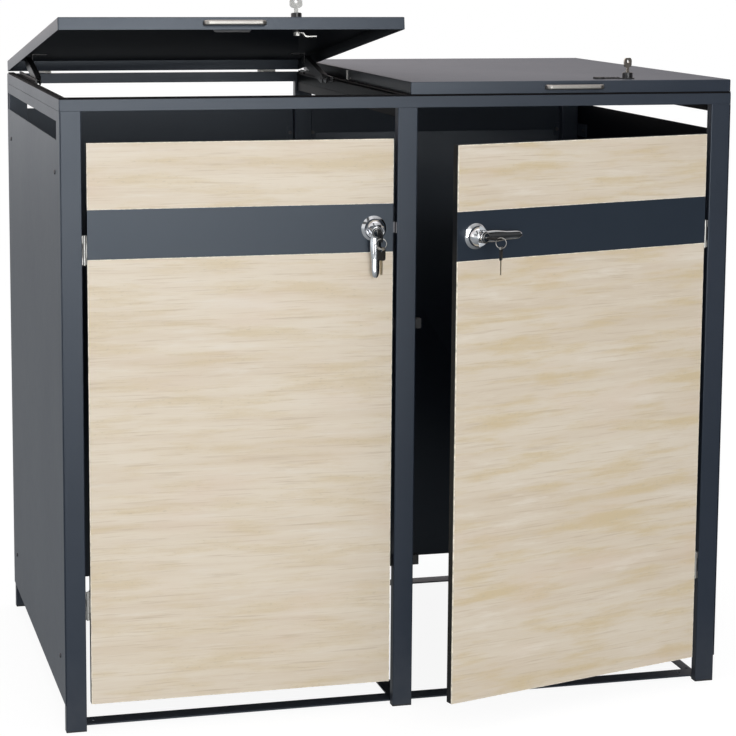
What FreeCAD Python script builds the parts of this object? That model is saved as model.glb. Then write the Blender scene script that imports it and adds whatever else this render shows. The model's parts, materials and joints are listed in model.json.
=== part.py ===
import FreeCAD, Part
import math
import os

# Double wheelie bin store: steel frame, two lifting lids, two swinging doors.
# Millimetres. X to the right, Y to the back, Z up. The doors face -Y.
# The origin is on the ground, in the middle under the middle front post.
# Rest pose: left lid a little raised, right door a little open.

V = FreeCAD.Vector
X_AXIS = V(1, 0, 0)
Y_AXIS = V(0, 1, 0)
Z_AXIS = V(0, 0, 1)

# Cabinet
cabinet_width = 1360.0
cabinet_depth = 900.0
cabinet_height = 1260.0
sheet = 1.5

# Top ring and posts
rail_height = 22.0
rail_width = 20.0
centre_rail_width = 30.0
tie_height = 20.0
post_width = 40.0
post_depth = 22.0
tube_wall = 1.5
post_round = 2.0
lug_length = 85.0
lug_height = 30.0
lug_thickness = 2.0
foot_thickness = 3.0
foot_plug_height = 15.0
seal_width = 12.0
centre_seal_width = 24.0
seal_setback = 0.5
seal_play = 0.5

# Floor flats
flat_thickness = 3.0
sill_width = 40.0
sill_setback = 27.0
bar_width = 20.0
anchor_hole = 9.0
anchor_inset = 18.5
bar_hole = 7.0
bar_hole_setback = 71.0

# Outer panels
panel_bottom = 55.0
panel_seam = 0.4
slot_bottom = 1153.0
slot_top = 1189.0
slot_front_margin = 42.0
slot_rear_margin = 10.0
screw_setback = 68.0
screw_below_slot = 63.0
screw_above_bottom = 81.0
screw_shank = 5.0
screw_head = 9.0
screw_head_height = 2.0
screw_nut = 8.0
screw_nut_height = 3.5
screw_hole_play = 0.3

# Lids
lid_gap = 4.0
lid_flange = 24.0
lid_side_inset = 1.1
lid_split = 10.6
lid_round = 2.0
lid_rest_angle = 8.0
lid_hinge_offset = 57.0
lid_hinge_width = 40.0
lid_hinge_leaf = 19.0
knuckle_radius = 3.5
pin_radius = 1.5
leaf_thickness = 1.5
knuckle_gap = 0.5

# Lid stays: the arm is as long as its pivot is far from the lid hinge
stay_length = 165.0
stay_angle = 3.0
stay_width = 20.0
stay_thickness = 12.0
stay_sheet = 2.0
stay_play = 0.5
track_thickness = 4.0
track_height = 12.0
track_groove = 5.0
track_groove_depth = 3.0
track_slide_angle = 71.0
stay_pin_radius = 2.0
stay_pivot_radius = 2.5
bracket_length = 22.0
bracket_drop = 7.0
bracket_foot = 32.0
bracket_sheet = 2.0
rivet_spacing = 18.0
rivet_radius = 2.5
rivet_head = 1.2

# Lid handles and locks
bow_length = 122.0
bow_height = 9.5
bow_reach = 17.0
bow_thickness = 5.0
bow_corner = 11.0
bow_edge = 3.0
guide_width = 75.0
guide_setback = 24.0
guide_drop = 26.5
guide_taper = 4.0
lock_share = 0.697
lock_setback = 50.0
lock_head_diameter = 21.0
lock_head_height = 13.0
lock_body_diameter = 16.0
lock_body_drop = 24.0
plug_diameter = 10.0
cam_reach = 38.0
cam_step = 7.0
cam_width = 12.0
cam_thickness = 2.0
key_bow_width = 25.0
key_bow_height = 19.0
key_bow_thickness = 2.2
key_neck = 10.0
right_key_turn = 33.0
strap_length = 52.0
strap_width = 9.0

# Doors
door_bottom = 54.0
door_top = 1150.0
door_tray_depth = 15.0
decor_thickness = 3.0
door_sheet = 1.2
door_lip = 18.0
hinge_gap = 9.5
latch_gap = 8.0
band_below_handle = 47.0
band_above_handle = 48.0
door_rest_angle = 16.0
door_hinge_height = 55.0
door_hinge_upper = 946.0
door_hinge_lower = 251.0
door_leaf_width = 15.0

# Door handles
handle_height = 975.0
handle_backset = 40.0
rose_diameter = 50.0
rose_rim = 2.0
rose_dome = 8.0
hub_diameter = 41.0
hub_centre = 8.0
hood_root = 9.0
hood_drop = 4.0
hood_angle = 38.0
barrel_diameter = 23.0
hub_length = 21.5
key_tilt = 12.0
lever_reach = 95.0
lever_width = 24.0
lever_thickness = 13.0
lever_middle = 15.5
spindle_diameter = 9.0
door_cam_length = 60.0
door_cam_width = 21.0
door_cam_thickness = 3.0
door_cam_play = 0.8
door_cam_hub = 16.0
key_core_diameter = 18.0
key_core_depth = 15.5
core_proud = 3.0
key_neck_gap = 6.0
key_head_length = 28.0
key_head_width = 20.0
key_head_thickness = 3.0
key_eye = 4.0
eye_inset = 6.0
ring_radius = 10.0
ring_wire = 0.9
ring_rest = 2.5
ring_play = 0.5
ring_turn = -12.0
spare_gap = 0.4
spare_turn = 42.0
spare_turn_gap = 1.1
spare_head = 26.0
spare_blade = 28.0

# Stops and strike on the middle post
stop_size = 20.0
stop_upper = 780.0
stop_lower = 297.0
strike_height = 21.0

# Levels and planes that follow from the sizes above
half_width = cabinet_width / 2
front = -post_depth / 2
rear = front + cabinet_depth
skin = half_width - sheet
lid_top = cabinet_height
lid_bottom = lid_top - lid_flange
ring_top = lid_bottom - lid_gap
ring_bottom = ring_top - rail_height
post_inner = skin - post_width
post_half = post_width / 2
post_back = front + post_depth
rear_post_back = rear - sheet
rear_post_front = rear_post_back - post_depth
screw_upper = slot_bottom - screw_below_slot
screw_lower = panel_bottom + screw_above_bottom
hinge_y = rear + 1.0 + knuckle_radius
hinge_z = ring_top + lid_gap / 2
door_front = front
door_back = front + decor_thickness + door_tray_depth
door_hinge_x = post_inner - hinge_gap / 2
door_hinge_y = front + knuckle_radius + 0.3
door_outer = post_inner - hinge_gap
door_inner = post_half + latch_gap
handle_x = door_inner + handle_backset
band_bottom = handle_height - band_below_handle
band_top = handle_height + band_above_handle
rose_seat = rose_rim + rose_dome - 1.5
door_cam_gap = post_back + door_cam_play - door_back
spindle_end = door_back - front + door_cam_gap + door_cam_thickness + 3.5
key_head_start = hub_length + core_proud + key_neck_gap
key_hole = key_head_start + key_head_length - eye_inset
lid_outer = half_width - lid_side_inset
lid_inner = lid_split / 2
lock_x = lid_inner + lock_share * (lid_outer - lid_inner)
lock_x_left = -lid_outer + lock_share * (lid_outer - lid_inner)
lock_y = front + lock_setback

os.makedirs("parts", exist_ok=True)


def box(x0, x1, y0, y1, z0, z1):
    """Box between two corners, given in any order."""
    xa, xb = min(x0, x1), max(x0, x1)
    ya, yb = min(y0, y1), max(y0, y1)
    za, zb = min(z0, z1), max(z0, z1)
    return Part.makeBox(xb - xa, yb - ya, zb - za, V(xa, ya, za))


def rod(radius, start, end):
    """Round bar between two points."""
    way = end.sub(start)
    return Part.makeCylinder(radius, way.Length, start, way)


def along(shape, axis):
    """Straight edges of a shape that run along an axis."""
    found = []
    for edge in shape.Edges:
        if len(edge.Vertexes) == 2:
            way = edge.Vertexes[1].Point.sub(edge.Vertexes[0].Point)
            if way.Length > 0 and abs(abs(way.normalize().dot(axis)) - 1) < 1e-6:
                found.append(edge)
    return found


def soft_box(x0, x1, y0, y1, z0, z1, radius, axis=Z_AXIS):
    """Box with the four edges along one axis rounded."""
    shape = box(x0, x1, y0, y1, z0, z1)
    return shape.makeFillet(radius, along(shape, axis))


def turned(shape, centre, axis, angle):
    """Copy of a shape turned about an axis."""
    copy = shape.copy()
    copy.rotate(centre, axis, angle)
    return copy


def mirrored(shape):
    """Copy of a shape on the other side of the middle plane."""
    return shape.mirror(V(0, 0, 0), X_AXIS)


def joined(shapes):
    """One solid out of overlapping or touching solids."""
    return shapes[0].multiFuse(shapes[1:]).removeSplitter()


def export(name, shapes):
    """Write one node, as a single solid or as a group of solids."""
    if not isinstance(shapes, (list, tuple)):
        shapes = [shapes]
    shape = shapes[0] if len(shapes) == 1 else Part.makeCompound(list(shapes))
    shape.exportStep("parts/" + name + ".step")


def raise_lid(shape):
    """Left lid parts go from the closed to the rest position."""
    return turned(shape, V(0, hinge_y, hinge_z), X_AXIS, -lid_rest_angle)


def open_door(shape):
    """Right door parts go from the closed to the rest position."""
    return turned(shape, V(door_hinge_x, door_hinge_y, 0), Z_AXIS, door_rest_angle)


# Posts: six square tubes, the corner ones with lugs for the panel screws
def tube_post(x0, x1, y0, y1):
    outer = soft_box(x0, x1, y0, y1, foot_thickness, ring_bottom, post_round)
    inner = box(x0 + tube_wall, x1 - tube_wall, y0 + tube_wall, y1 - tube_wall,
                foot_thickness, ring_bottom)
    return outer.cut(inner)


def side_lugs(sign, y_root, y_way):
    """Lugs that reach along a side panel from a corner post."""
    lugs = []
    for level in (screw_lower, screw_upper):
        x0 = sign * skin
        y1 = y_root + y_way * (lug_length - post_depth)
        lug = box(x0, x0 - sign * lug_thickness, y_root, y1,
                  level - lug_height / 2, level + lug_height / 2)
        y_hole = screw_y(y_way)
        lugs.append(lug.cut(rod(screw_shank / 2 + 0.3, V(x0 - sign * 5, y_hole, level),
                                V(x0 + sign * 5, y_hole, level))))
    return lugs


def screw_y(y_way):
    """Distance of the side panel screws from the front or the rear edge."""
    return front + screw_setback if y_way > 0 else rear - screw_setback


def rear_lug(x_root, x_way):
    """Lug pair that reaches along a rear panel from a rear post."""
    lugs = []
    for level in (screw_lower, screw_upper):
        x1 = x_root + x_way * 14
        lug = box(x_root, x1, rear_post_back, rear_post_back - lug_thickness,
                  level - lug_height / 2, level + lug_height / 2)
        x_hole = x_root + x_way * 7
        lugs.append(lug.cut(rod(screw_shank / 2 + 0.3, V(x_hole, rear - 10, level),
                                V(x_hole, rear + 5, level))))
    return lugs


def corner_front(sign):
    post = tube_post(*sorted((sign * skin, sign * post_inner)), front, post_back)
    return joined([post] + side_lugs(sign, post_back, 1))


def corner_rear(sign):
    post = tube_post(*sorted((sign * skin, sign * post_inner)), rear_post_front, rear_post_back)
    lugs = side_lugs(sign, rear_post_front, -1)
    return joined([post] + lugs + rear_lug(sign * post_inner, -sign))


export("post_front_left", corner_front(-1))
export("post_front_right", corner_front(1))
export("post_front_middle", tube_post(-post_half, post_half, front, post_back))
middle_rear = tube_post(-post_half, post_half, rear_post_front, rear_post_back)
middle_lugs = rear_lug(post_half, 1) + rear_lug(-post_half, -1)
export("posts_rear", [corner_rear(-1), joined([middle_rear] + middle_lugs), corner_rear(1)])

# Plastic foot caps, plugged into the post ends
foot_caps = []
for x_mid in (-(skin + post_inner) / 2, 0.0, (skin + post_inner) / 2):
    for y_low in (front, rear_post_front):
        x0 = x_mid - post_half
        x1 = x_mid + post_half
        y1 = y_low + post_depth
        base = soft_box(x0, x1, y_low, y1, 0, foot_thickness, post_round)
        inset = tube_wall + 0.3
        plug = box(x0 + inset, x1 - inset, y_low + inset, y1 - inset,
                   foot_thickness, foot_thickness + foot_plug_height)
        foot_caps.append(base.fuse(plug))
export("foot_caps", foot_caps)

# Floor flats with holes for ground anchors
flat_top = foot_thickness + flat_thickness
sill_front_edge = front + sill_setback
centre_bar_half = 15.0


def sill(sign, y_edge):
    flat = box(sign * post_inner, sign * centre_bar_half, y_edge, y_edge + sill_width,
               foot_thickness, flat_top)
    x_hole = sign * (post_inner - anchor_inset)
    y_mid = y_edge + sill_width / 2
    return flat.cut(rod(anchor_hole / 2, V(x_hole, y_mid, 0), V(x_hole, y_mid, flat_top + 1)))


def floor_bar(x0, x1, holes):
    flat = box(x0, x1, post_back, rear_post_front, foot_thickness, flat_top)
    if holes:
        x_mid = (x0 + x1) / 2
        for y_hole in (front + bar_hole_setback, rear - bar_hole_setback):
            flat = flat.cut(rod(bar_hole / 2, V(x_mid, y_hole, 0), V(x_mid, y_hole, flat_top + 1)))
    return flat


sill_rear_edge = rear - sill_setback - sill_width
export("sill_front", [sill(-1, sill_front_edge), sill(1, sill_front_edge)])
export("sill_rear", [sill(-1, sill_rear_edge), sill(1, sill_rear_edge)])
export("floor_bars", [
    floor_bar(-post_inner - bar_width, -post_inner, True),
    floor_bar(-centre_bar_half, centre_bar_half, False),
    floor_bar(post_inner, post_inner + bar_width, True),
])

# Top ring. The front rail is a channel of three flats, open to the back, where the lid cams catch
channel_back = front + rail_width
export("ring_rail_front", [
    box(-skin, skin, front, front + sheet, ring_bottom, ring_top),
    box(-skin, skin, front + sheet, channel_back, ring_top - sheet, ring_top),
    box(-skin, skin, front + sheet, channel_back, ring_bottom, ring_bottom + sheet),
])


def hollow(x0, x1, y0, y1, z0, z1, axis):
    """Rectangular tube, open at the two ends of one axis."""
    outer = box(x0, x1, y0, y1, z0, z1)
    dx = 0 if axis == X_AXIS else tube_wall
    dy = 0 if axis == Y_AXIS else tube_wall
    return outer.cut(box(x0 + dx, x1 - dx, y0 + dy, y1 - dy, z0 + tube_wall, z1 - tube_wall))


export("ring_rail_rear", hollow(-skin, skin, rear - rail_width, rear, ring_bottom, ring_top, X_AXIS))
side_rail = hollow(-half_width, -half_width + rail_width, front + rail_width, rear - rail_width,
                   ring_bottom, ring_top, Y_AXIS)
side_skin = box(-half_width, -skin, front, rear, ring_bottom, ring_top)
side_rail = joined([side_rail, side_skin])
export("ring_rails_side", [side_rail, mirrored(side_rail)])
centre_half = centre_rail_width / 2
export("ring_rail_middle", hollow(-centre_half, centre_half, front + rail_width, rear - rail_width,
                                  ring_bottom, ring_top, Y_AXIS))
export("tie_rail_middle", hollow(-centre_half, centre_half, post_back, rear_post_front,
                                 ring_bottom - tie_height, ring_bottom, Y_AXIS))

# Rubber seals on the ring, under the front, side and inner edges of the lids
seal_top = lid_bottom - seal_play
seal_outer = half_width - seal_setback
seal_front = front + seal_setback
seal_turn = seal_front + seal_width
seal_end = rear - rail_width
side_seal = box(-seal_outer, -seal_outer + seal_width, seal_turn, seal_end, ring_top, seal_top)
export("ring_seals", [
    box(-seal_outer, seal_outer, seal_front, seal_turn, ring_top, seal_top),
    side_seal,
    mirrored(side_seal),
    box(-centre_seal_width / 2, centre_seal_width / 2, seal_turn, seal_end, ring_top, seal_top),
])

# Outer panels with their vent slots
side_panel = box(-half_width, -skin, front, rear, panel_bottom, ring_bottom - panel_seam)
side_panel = side_panel.cut(box(-half_width - 1, -skin + 1, front + slot_front_margin,
                                rear - slot_rear_margin, slot_bottom, slot_top))
for y_way in (1, -1):
    for level in (screw_lower, screw_upper):
        side_panel = side_panel.cut(rod(screw_shank / 2 + screw_hole_play,
                                        V(-half_width - 1, screw_y(y_way), level),
                                        V(-skin + 1, screw_y(y_way), level)))
export("side_panel_left", side_panel)
export("side_panel_right", mirrored(side_panel))

rear_panel = box(-skin, -panel_seam, rear_post_back, rear, panel_bottom, slot_bottom)
rear_screw_x = (-post_inner + 7, -post_half - 7)
for x_hole in rear_screw_x:
    for level in (screw_lower, screw_upper):
        rear_panel = rear_panel.cut(rod(screw_shank / 2 + screw_hole_play, V(x_hole, rear - 5, level),
                                        V(x_hole, rear + 1, level)))
export("rear_panels", [rear_panel, mirrored(rear_panel)])


def panel_screw(point, way):
    """Button head screw with its nut; the head rests on the panel at the point."""
    crown = point.add(V(way).multiply(screw_head_height))
    head = rod(screw_head / 2, point, crown)
    rims = [edge for edge in head.Edges
            if edge.isClosed() and edge.CenterOfMass.distanceToPoint(crown) < 0.1]
    head = head.makeFillet(screw_head_height * 0.6, rims)
    grip = sheet + lug_thickness
    nut_start = point.sub(V(way).multiply(grip))
    shank = rod(screw_shank / 2, point, nut_start.sub(V(way).multiply(screw_nut_height + 1)))
    nut = rod(screw_nut / 2, nut_start, nut_start.sub(V(way).multiply(screw_nut_height)))
    return head.fuse(shank).fuse(nut)


screws = []
for level in (screw_lower, screw_upper):
    for sign in (-1, 1):
        for y_way in (1, -1):
            screws.append(panel_screw(V(sign * half_width, screw_y(y_way), level), V(sign, 0, 0)))
        for x_hole in rear_screw_x:
            screws.append(panel_screw(V(-sign * x_hole, rear, level), V(0, 1, 0)))
export("panel_screws", screws)


# Lids: shallow trays turned upside down
def lid_tray(x0, x1):
    shape = box(x0, x1, front, rear, lid_bottom, lid_top)
    rounded = along(shape, Z_AXIS)
    for edge in along(shape, X_AXIS) + along(shape, Y_AXIS):
        if edge.CenterOfMass.z > lid_top - 0.1:
            rounded.append(edge)
    shape = shape.makeFillet(lid_round, rounded)
    return shape.cut(box(x0 + sheet, x1 - sheet, front + sheet, rear - sheet,
                         lid_bottom - 1, lid_top - sheet))


def lid_body(sign, x_lock):
    tray = lid_tray(*sorted((sign * lid_outer, sign * lid_inner)))
    return tray.cut(rod(lock_body_diameter / 2 + 0.2, V(x_lock, lock_y, lid_bottom - 1),
                        V(x_lock, lock_y, lid_top + 1)))


export("lid_left", raise_lid(lid_body(-1, lock_x_left)))
export("lid_right", lid_body(1, lock_x))


# Lid hinges: three knuckles each, the middle one on the lid leaf
def knuckle(x0, x1, bore):
    ring = rod(knuckle_radius, V(x0, hinge_y, hinge_z), V(x1, hinge_y, hinge_z))
    return ring, rod(bore, V(x0 - 1, hinge_y, hinge_z), V(x1 + 1, hinge_y, hinge_z))


def lid_leaf(x_mid, upper):
    third = lid_hinge_width / 3
    x0 = x_mid - lid_hinge_width / 2
    x1 = x_mid + lid_hinge_width / 2
    way = 1 if upper else -1
    z_near = hinge_z + way * (knuckle_radius - 0.5)
    z_far = z_near + way * lid_hinge_leaf
    plate = box(x0, x1, rear, rear + leaf_thickness, z_near, z_far)
    solids = [plate]
    cuts = []
    if upper:
        spans = [(x0 + third + knuckle_gap / 2, x1 - third - knuckle_gap / 2)]
    else:
        spans = [(x0, x0 + third - knuckle_gap / 2), (x1 - third + knuckle_gap / 2, x1)]
    for xa, xb in spans:
        ring, bore = knuckle(xa, xb, pin_radius + (0.3 if upper else 0.1))
        bridge = box(xa, xb, rear, rear + 2.5, hinge_z + way * 1.2, z_near + way * 3)
        solids += [ring, bridge]
        cuts.append(bore)
    shape = joined(solids)
    for bore in cuts:
        shape = shape.cut(bore)
    for x_hole in (x_mid - 11, x_mid + 11):
        z_hole = (z_near + z_far) / 2 + way * 2
        head = rod(3.2, V(x_hole, rear + leaf_thickness, z_hole),
                   V(x_hole, rear + leaf_thickness + 1.2, z_hole))
        shape = shape.fuse(head)
    return shape.removeSplitter()


def lid_pin(x_mid):
    x0 = x_mid - lid_hinge_width / 2
    x1 = x_mid + lid_hinge_width / 2
    pin = rod(pin_radius, V(x0, hinge_y, hinge_z), V(x1, hinge_y, hinge_z))
    heads = [rod(2.4, V(x0 - 1, hinge_y, hinge_z), V(x0, hinge_y, hinge_z)),
             rod(2.4, V(x1, hinge_y, hinge_z), V(x1 + 1, hinge_y, hinge_z))]
    return joined([pin] + heads)


hinge_inset = lid_hinge_offset + lid_hinge_width / 2
hinge_x = [lid_inner + hinge_inset, lid_outer - hinge_inset]
left_leaves = [lid_leaf(-x, True) for x in hinge_x]
export("lid_left_hinge_leaves", [raise_lid(leaf) for leaf in left_leaves])
export("lid_right_hinge_leaves", [lid_leaf(x, True) for x in hinge_x])
fixed_leaves = []
for x in hinge_x:
    for sign in (-1, 1):
        fixed_leaves += [lid_leaf(sign * x, False), lid_pin(sign * x)]
export("lid_hinge_leaves_fixed", fixed_leaves)

# Lid stays: the arm pivots under the lid and its lower pin slides along a track
# at the height of the lid hinge, so that arm and lid turn in a fixed ratio
track_x = half_width - rail_width
arm_x = track_x - track_thickness - stay_play
inner_track_x = centre_half
inner_arm_x = inner_track_x + track_thickness + stay_play


def slide_y(angle):
    """Place of the lower arm pin for an angle of the upper pivot above the hinge level."""
    return hinge_y - 2 * stay_length * math.cos(math.radians(angle))


def pivot_point(angle):
    """Place of the upper arm pivot for the same angle."""
    return (hinge_y - stay_length * math.cos(math.radians(angle)),
            hinge_z + stay_length * math.sin(math.radians(angle)))


groove_front = slide_y(stay_angle) - stay_pin_radius - 0.5
groove_rear = slide_y(track_slide_angle) + stay_pin_radius + 0.5
track_front = groove_front - 34
track_rear = groove_rear + 32


def stay_track(x0, way):
    """Track on a rail face; way points from the rail towards the arm."""
    x1 = x0 + way * track_thickness
    z0 = hinge_z - track_height / 2
    bar = box(x0, x1, track_front, track_rear, z0, z0 + track_height)
    bar = bar.cut(box(x1 - way * track_groove_depth, x1 + way, groove_front, groove_rear,
                      hinge_z - track_groove / 2, hinge_z + track_groove / 2))
    for y_screw in (track_front + 6, track_front + 16, track_rear - 8):
        bar = bar.fuse(rod(3.0, V(x1, y_screw, z0 + 4), V(x1 + way * 1.5, y_screw, z0 + 4)))
    return bar


export("stay_tracks", [stay_track(-track_x, 1), stay_track(track_x, -1),
                       stay_track(-inner_track_x, -1), stay_track(inner_track_x, 1)])


def stay_arm(x0, way, angle):
    """Channel, open below, from the pivot on the lid down to the pin in the track."""
    x1 = x0 + way * stay_thickness
    y_top, z_top = pivot_point(angle)
    y_low = slide_y(angle)
    half = stay_width / 2
    ends = [rod(half, V(x0, y_top, z_top), V(x1, y_top, z_top)),
            rod(half, V(x0, y_low, hinge_z), V(x1, y_low, hinge_z))]
    bar = box(x0, x1, y_top - stay_length, y_top, z_top - half, z_top + half)
    x_slot = (x0 + way * stay_sheet, x1 - way * stay_sheet)
    slot = box(*x_slot, y_top - stay_length - stay_width, y_top + stay_width,
               z_top - stay_width, z_top + half - stay_sheet)
    bar = turned(bar, V(x0, y_top, z_top), X_AXIS, angle)
    slot = turned(slot, V(x0, y_top, z_top), X_AXIS, angle)
    pin = rod(stay_pin_radius, V(x0 - way * (stay_play + track_groove_depth - 0.4), y_low, hinge_z),
              V(x1 + way * 1.5, y_low, hinge_z))
    shape = joined([joined(ends + [bar]).cut(slot), pin])
    return shape.cut(rod(stay_pivot_radius + 0.3, V(x0 - way, y_top, z_top),
                         V(x1 + way, y_top, z_top)))


def stay_bracket(x0, way):
    """Angle under the lid that carries the upper pivot, drawn for the closed lid."""
    y_top, z_top = pivot_point(stay_angle)
    under = lid_top - sheet
    foot_low = under - bracket_sheet
    x1 = x0 + way * bracket_sheet
    y0 = y_top - bracket_length / 2
    y1 = y_top + bracket_length / 2
    plate = box(x0, x1, y0, y1, z_top - bracket_drop, under)
    foot = box(x0, x0 + way * bracket_foot, y0, y1, foot_low, under)
    x_back = x0 - way * (stay_thickness + 0.3)
    parts = [plate, foot, rod(stay_pivot_radius, V(x_back, y_top, z_top), V(x1 + way * 2, y_top, z_top))]
    foot_mid = (bracket_sheet + bracket_foot) / 2
    for reach in (foot_mid - rivet_spacing / 2, foot_mid + rivet_spacing / 2):
        x_rivet = x0 + way * reach
        parts.append(rod(rivet_radius, V(x_rivet, y_top, foot_low - rivet_head), V(x_rivet, y_top, foot_low)))
    return joined(parts)


rest_angle = stay_angle + lid_rest_angle
bracket_x = arm_x - stay_thickness - 0.3
inner_bracket_x = inner_arm_x + stay_thickness + 0.3
export("lid_left_stay_arms", [stay_arm(-arm_x, 1, rest_angle), stay_arm(-inner_arm_x, -1, rest_angle)])
export("lid_right_stay_arms", [stay_arm(arm_x, -1, stay_angle), stay_arm(inner_arm_x, 1, stay_angle)])
export("lid_left_stay_brackets", [raise_lid(stay_bracket(-bracket_x, 1)),
                                  raise_lid(stay_bracket(-inner_bracket_x, -1))])
export("lid_right_stay_brackets", [stay_bracket(bracket_x, -1), stay_bracket(inner_bracket_x, 1)])


# Lid handles: a flat bow on the front flange, and a guide plate inside the ring
def lid_handle(x_mid):
    """Straight flat bar whose rounded ends turn back to the flange."""
    z_mid = lid_top - lid_flange / 2
    z0 = z_mid - bow_height / 2
    z1 = z_mid + bow_height / 2
    x0 = x_mid - bow_length / 2
    x1 = x_mid + bow_length / 2
    y0 = front - bow_reach
    y_far = front + 2 * bow_corner
    outer = soft_box(x0, x1, y0, y_far, z0, z1, bow_corner)
    outer = outer.makeFillet(bow_edge, [e for e in outer.Edges if abs(abs(e.CenterOfMass.z - z_mid)
                                                                      - bow_height / 2) < 0.01])
    t = bow_thickness
    inner = soft_box(x0 + t, x1 - t, y0 + t, y_far, z0 - 1, z1 + 1, bow_corner - t)
    return outer.cut(inner).common(box(x0, x1, y0, front, z0, z1))


def guide_plate(x_mid):
    y0 = front + guide_setback
    half = guide_width / 2
    under = lid_top - sheet
    low = lid_top - guide_drop
    tip = half - guide_taper
    corners = [(-half, under), (half, under), (half, low + guide_taper), (tip, low),
               (-tip, low), (-half, low + guide_taper), (-half, under)]
    outline = Part.makePolygon([V(x_mid + x, y0, z) for x, z in corners])
    plate = Part.Face(outline).extrude(V(0, sheet, 0))
    foot = box(x_mid - half, x_mid + half, y0, y0 + 18, under - sheet, under)
    return joined([plate, foot])


left_mid = -(lid_outer + lid_inner) / 2
right_mid = -left_mid
export("lid_left_handle", [raise_lid(lid_handle(left_mid)), raise_lid(guide_plate(left_mid))])
export("lid_right_handle", [lid_handle(right_mid), guide_plate(right_mid)])


# Lid locks: barrel through the lid, plug with the cranked cam, key, rubber cover
def lock_barrel(x):
    head_top = lid_top + lock_head_height
    head = rod(lock_head_diameter / 2, V(x, lock_y, lid_top), V(x, lock_y, head_top))
    head = head.makeChamfer(1.0, [e for e in head.Edges if e.CenterOfMass.z > head_top - 0.1])
    body = rod(lock_body_diameter / 2, V(x, lock_y, lid_top - lock_body_drop), V(x, lock_y, lid_top))
    nut = Part.Face(Part.makePolygon([
        V(x + 12 * math.cos(math.radians(a)), lock_y + 12 * math.sin(math.radians(a)),
          lid_top - sheet - 5) for a in range(0, 361, 60)])).extrude(V(0, 0, 5))
    return joined([head, body, nut]).cut(
        rod(plug_diameter / 2 + 0.3, V(x, lock_y, lid_top - lock_body_drop - 1),
            V(x, lock_y, head_top + 1)))


def lock_cam(x):
    """Plug, cranked cam and nut; the cam points to the right."""
    z_plug = lid_top - lock_body_drop - 1
    head_top = lid_top + lock_head_height
    plug = rod(plug_diameter / 2, V(x, lock_y, z_plug), V(x, lock_y, head_top - 0.5))
    keyway = box(x - 4.3, x + 4.3, lock_y - 1.4, lock_y + 1.4, head_top - 20, head_top + 1)
    plug = plug.cut(keyway)
    z1 = z_plug - cam_thickness
    half = cam_width / 2
    bend = 11.0
    flat_near = box(x, x + bend, lock_y - half, lock_y + half, z1, z_plug)
    eye = rod(half + 1, V(x, lock_y, z1), V(x, lock_y, z_plug))
    z2 = z1 - cam_step
    slope = Part.Face(Part.makePolygon([
        V(x + bend - 1, lock_y - half, z_plug), V(x + bend + 1, lock_y - half, z_plug),
        V(x + bend + 7, lock_y - half, z2 + cam_thickness), V(x + bend + 7, lock_y - half, z2),
        V(x + bend + 5, lock_y - half, z2), V(x + bend - 1, lock_y - half, z1),
        V(x + bend - 1, lock_y - half, z_plug)])).extrude(V(0, cam_width, 0))
    flat_far = box(x + bend + 6, x + cam_reach, lock_y - half, lock_y + half,
                   z2, z2 + cam_thickness)
    nut = Part.Face(Part.makePolygon([
        V(x + 6.5 * math.cos(math.radians(a)), lock_y + 6.5 * math.sin(math.radians(a)), z1)
        for a in range(0, 361, 60)])).extrude(V(0, 0, -4.5))
    return joined([plug, flat_near, eye, slope, flat_far, nut])


def flat_key(x):
    """Key standing in the plug, its bow facing the front."""
    head_top = lid_top + lock_head_height
    z_bow = head_top + key_neck
    t = key_bow_thickness / 2
    bow = box(x - key_bow_width / 2, x + key_bow_width / 2, lock_y - t, lock_y + t,
              z_bow, z_bow + key_bow_height)
    bow = bow.makeFillet(key_bow_height * 0.36, along(bow, Y_AXIS))
    eye = rod(3.5, V(x, lock_y - 5, z_bow + key_bow_height * 0.64),
              V(x, lock_y + 5, z_bow + key_bow_height * 0.64))
    bow = bow.cut(eye)
    neck = box(x - 4, x + 4, lock_y - t, lock_y + t, head_top - 18, z_bow + 2)
    return joined([bow, neck])


def lock_cover(x):
    """Rubber cover: a washer round the barrel, a ribbed strap and the loose cap."""
    z0 = lid_top
    washer = rod(14.0, V(x, lock_y, z0), V(x, lock_y, z0 + 2))
    x_end = x - strap_length
    strap = box(x_end, x - 10, lock_y - strap_width / 2, lock_y + strap_width / 2, z0, z0 + 2)
    parts = [washer, strap]
    for k in range(5):
        x_rib = x - 20 - k * 6
        parts.append(box(x_rib - 1.2, x_rib + 1.2, lock_y - strap_width / 2 - 1,
                         lock_y + strap_width / 2 + 1, z0, z0 + 3.5))
    parts.append(rod(12.0, V(x_end - 9, lock_y, z0), V(x_end - 9, lock_y, z0 + 4)))
    cover = joined(parts)
    return cover.cut(rod(lock_head_diameter / 2 + 0.1, V(x, lock_y, z0 - 1), V(x, lock_y, z0 + 5)))


def turned_lock(shape):
    """Right plug and key, turned a little away from the front rail."""
    return turned(shape, V(lock_x, lock_y, 0), Z_AXIS, right_key_turn)


export("lid_left_lock_barrel", raise_lid(lock_barrel(lock_x_left)))
export("lid_right_lock_barrel", lock_barrel(lock_x))
export("lid_left_lock_cam", raise_lid(lock_cam(lock_x_left)))
export("lid_right_lock_cam", turned_lock(lock_cam(lock_x)))
export("lid_left_key", raise_lid(flat_key(lock_x_left)))
export("lid_right_key", turned_lock(flat_key(lock_x)))
export("lid_left_lock_cover", raise_lid(lock_cover(lock_x_left)))
export("lid_right_lock_cover", lock_cover(lock_x))

# Small spacer on the inner flange of the right lid
pad_y = front + 0.55 * cabinet_depth
pad = box(lid_inner - 1.8, lid_inner, pad_y - 3.5, pad_y + 3.5, lid_bottom, lid_bottom + 20)
pad_rivet = rod(2.0, V(lid_inner - 1, pad_y - 30, lid_bottom + 5), V(lid_inner, pad_y - 30, lid_bottom + 5))
export("lid_right_side_pad", [pad, pad_rivet])


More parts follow.
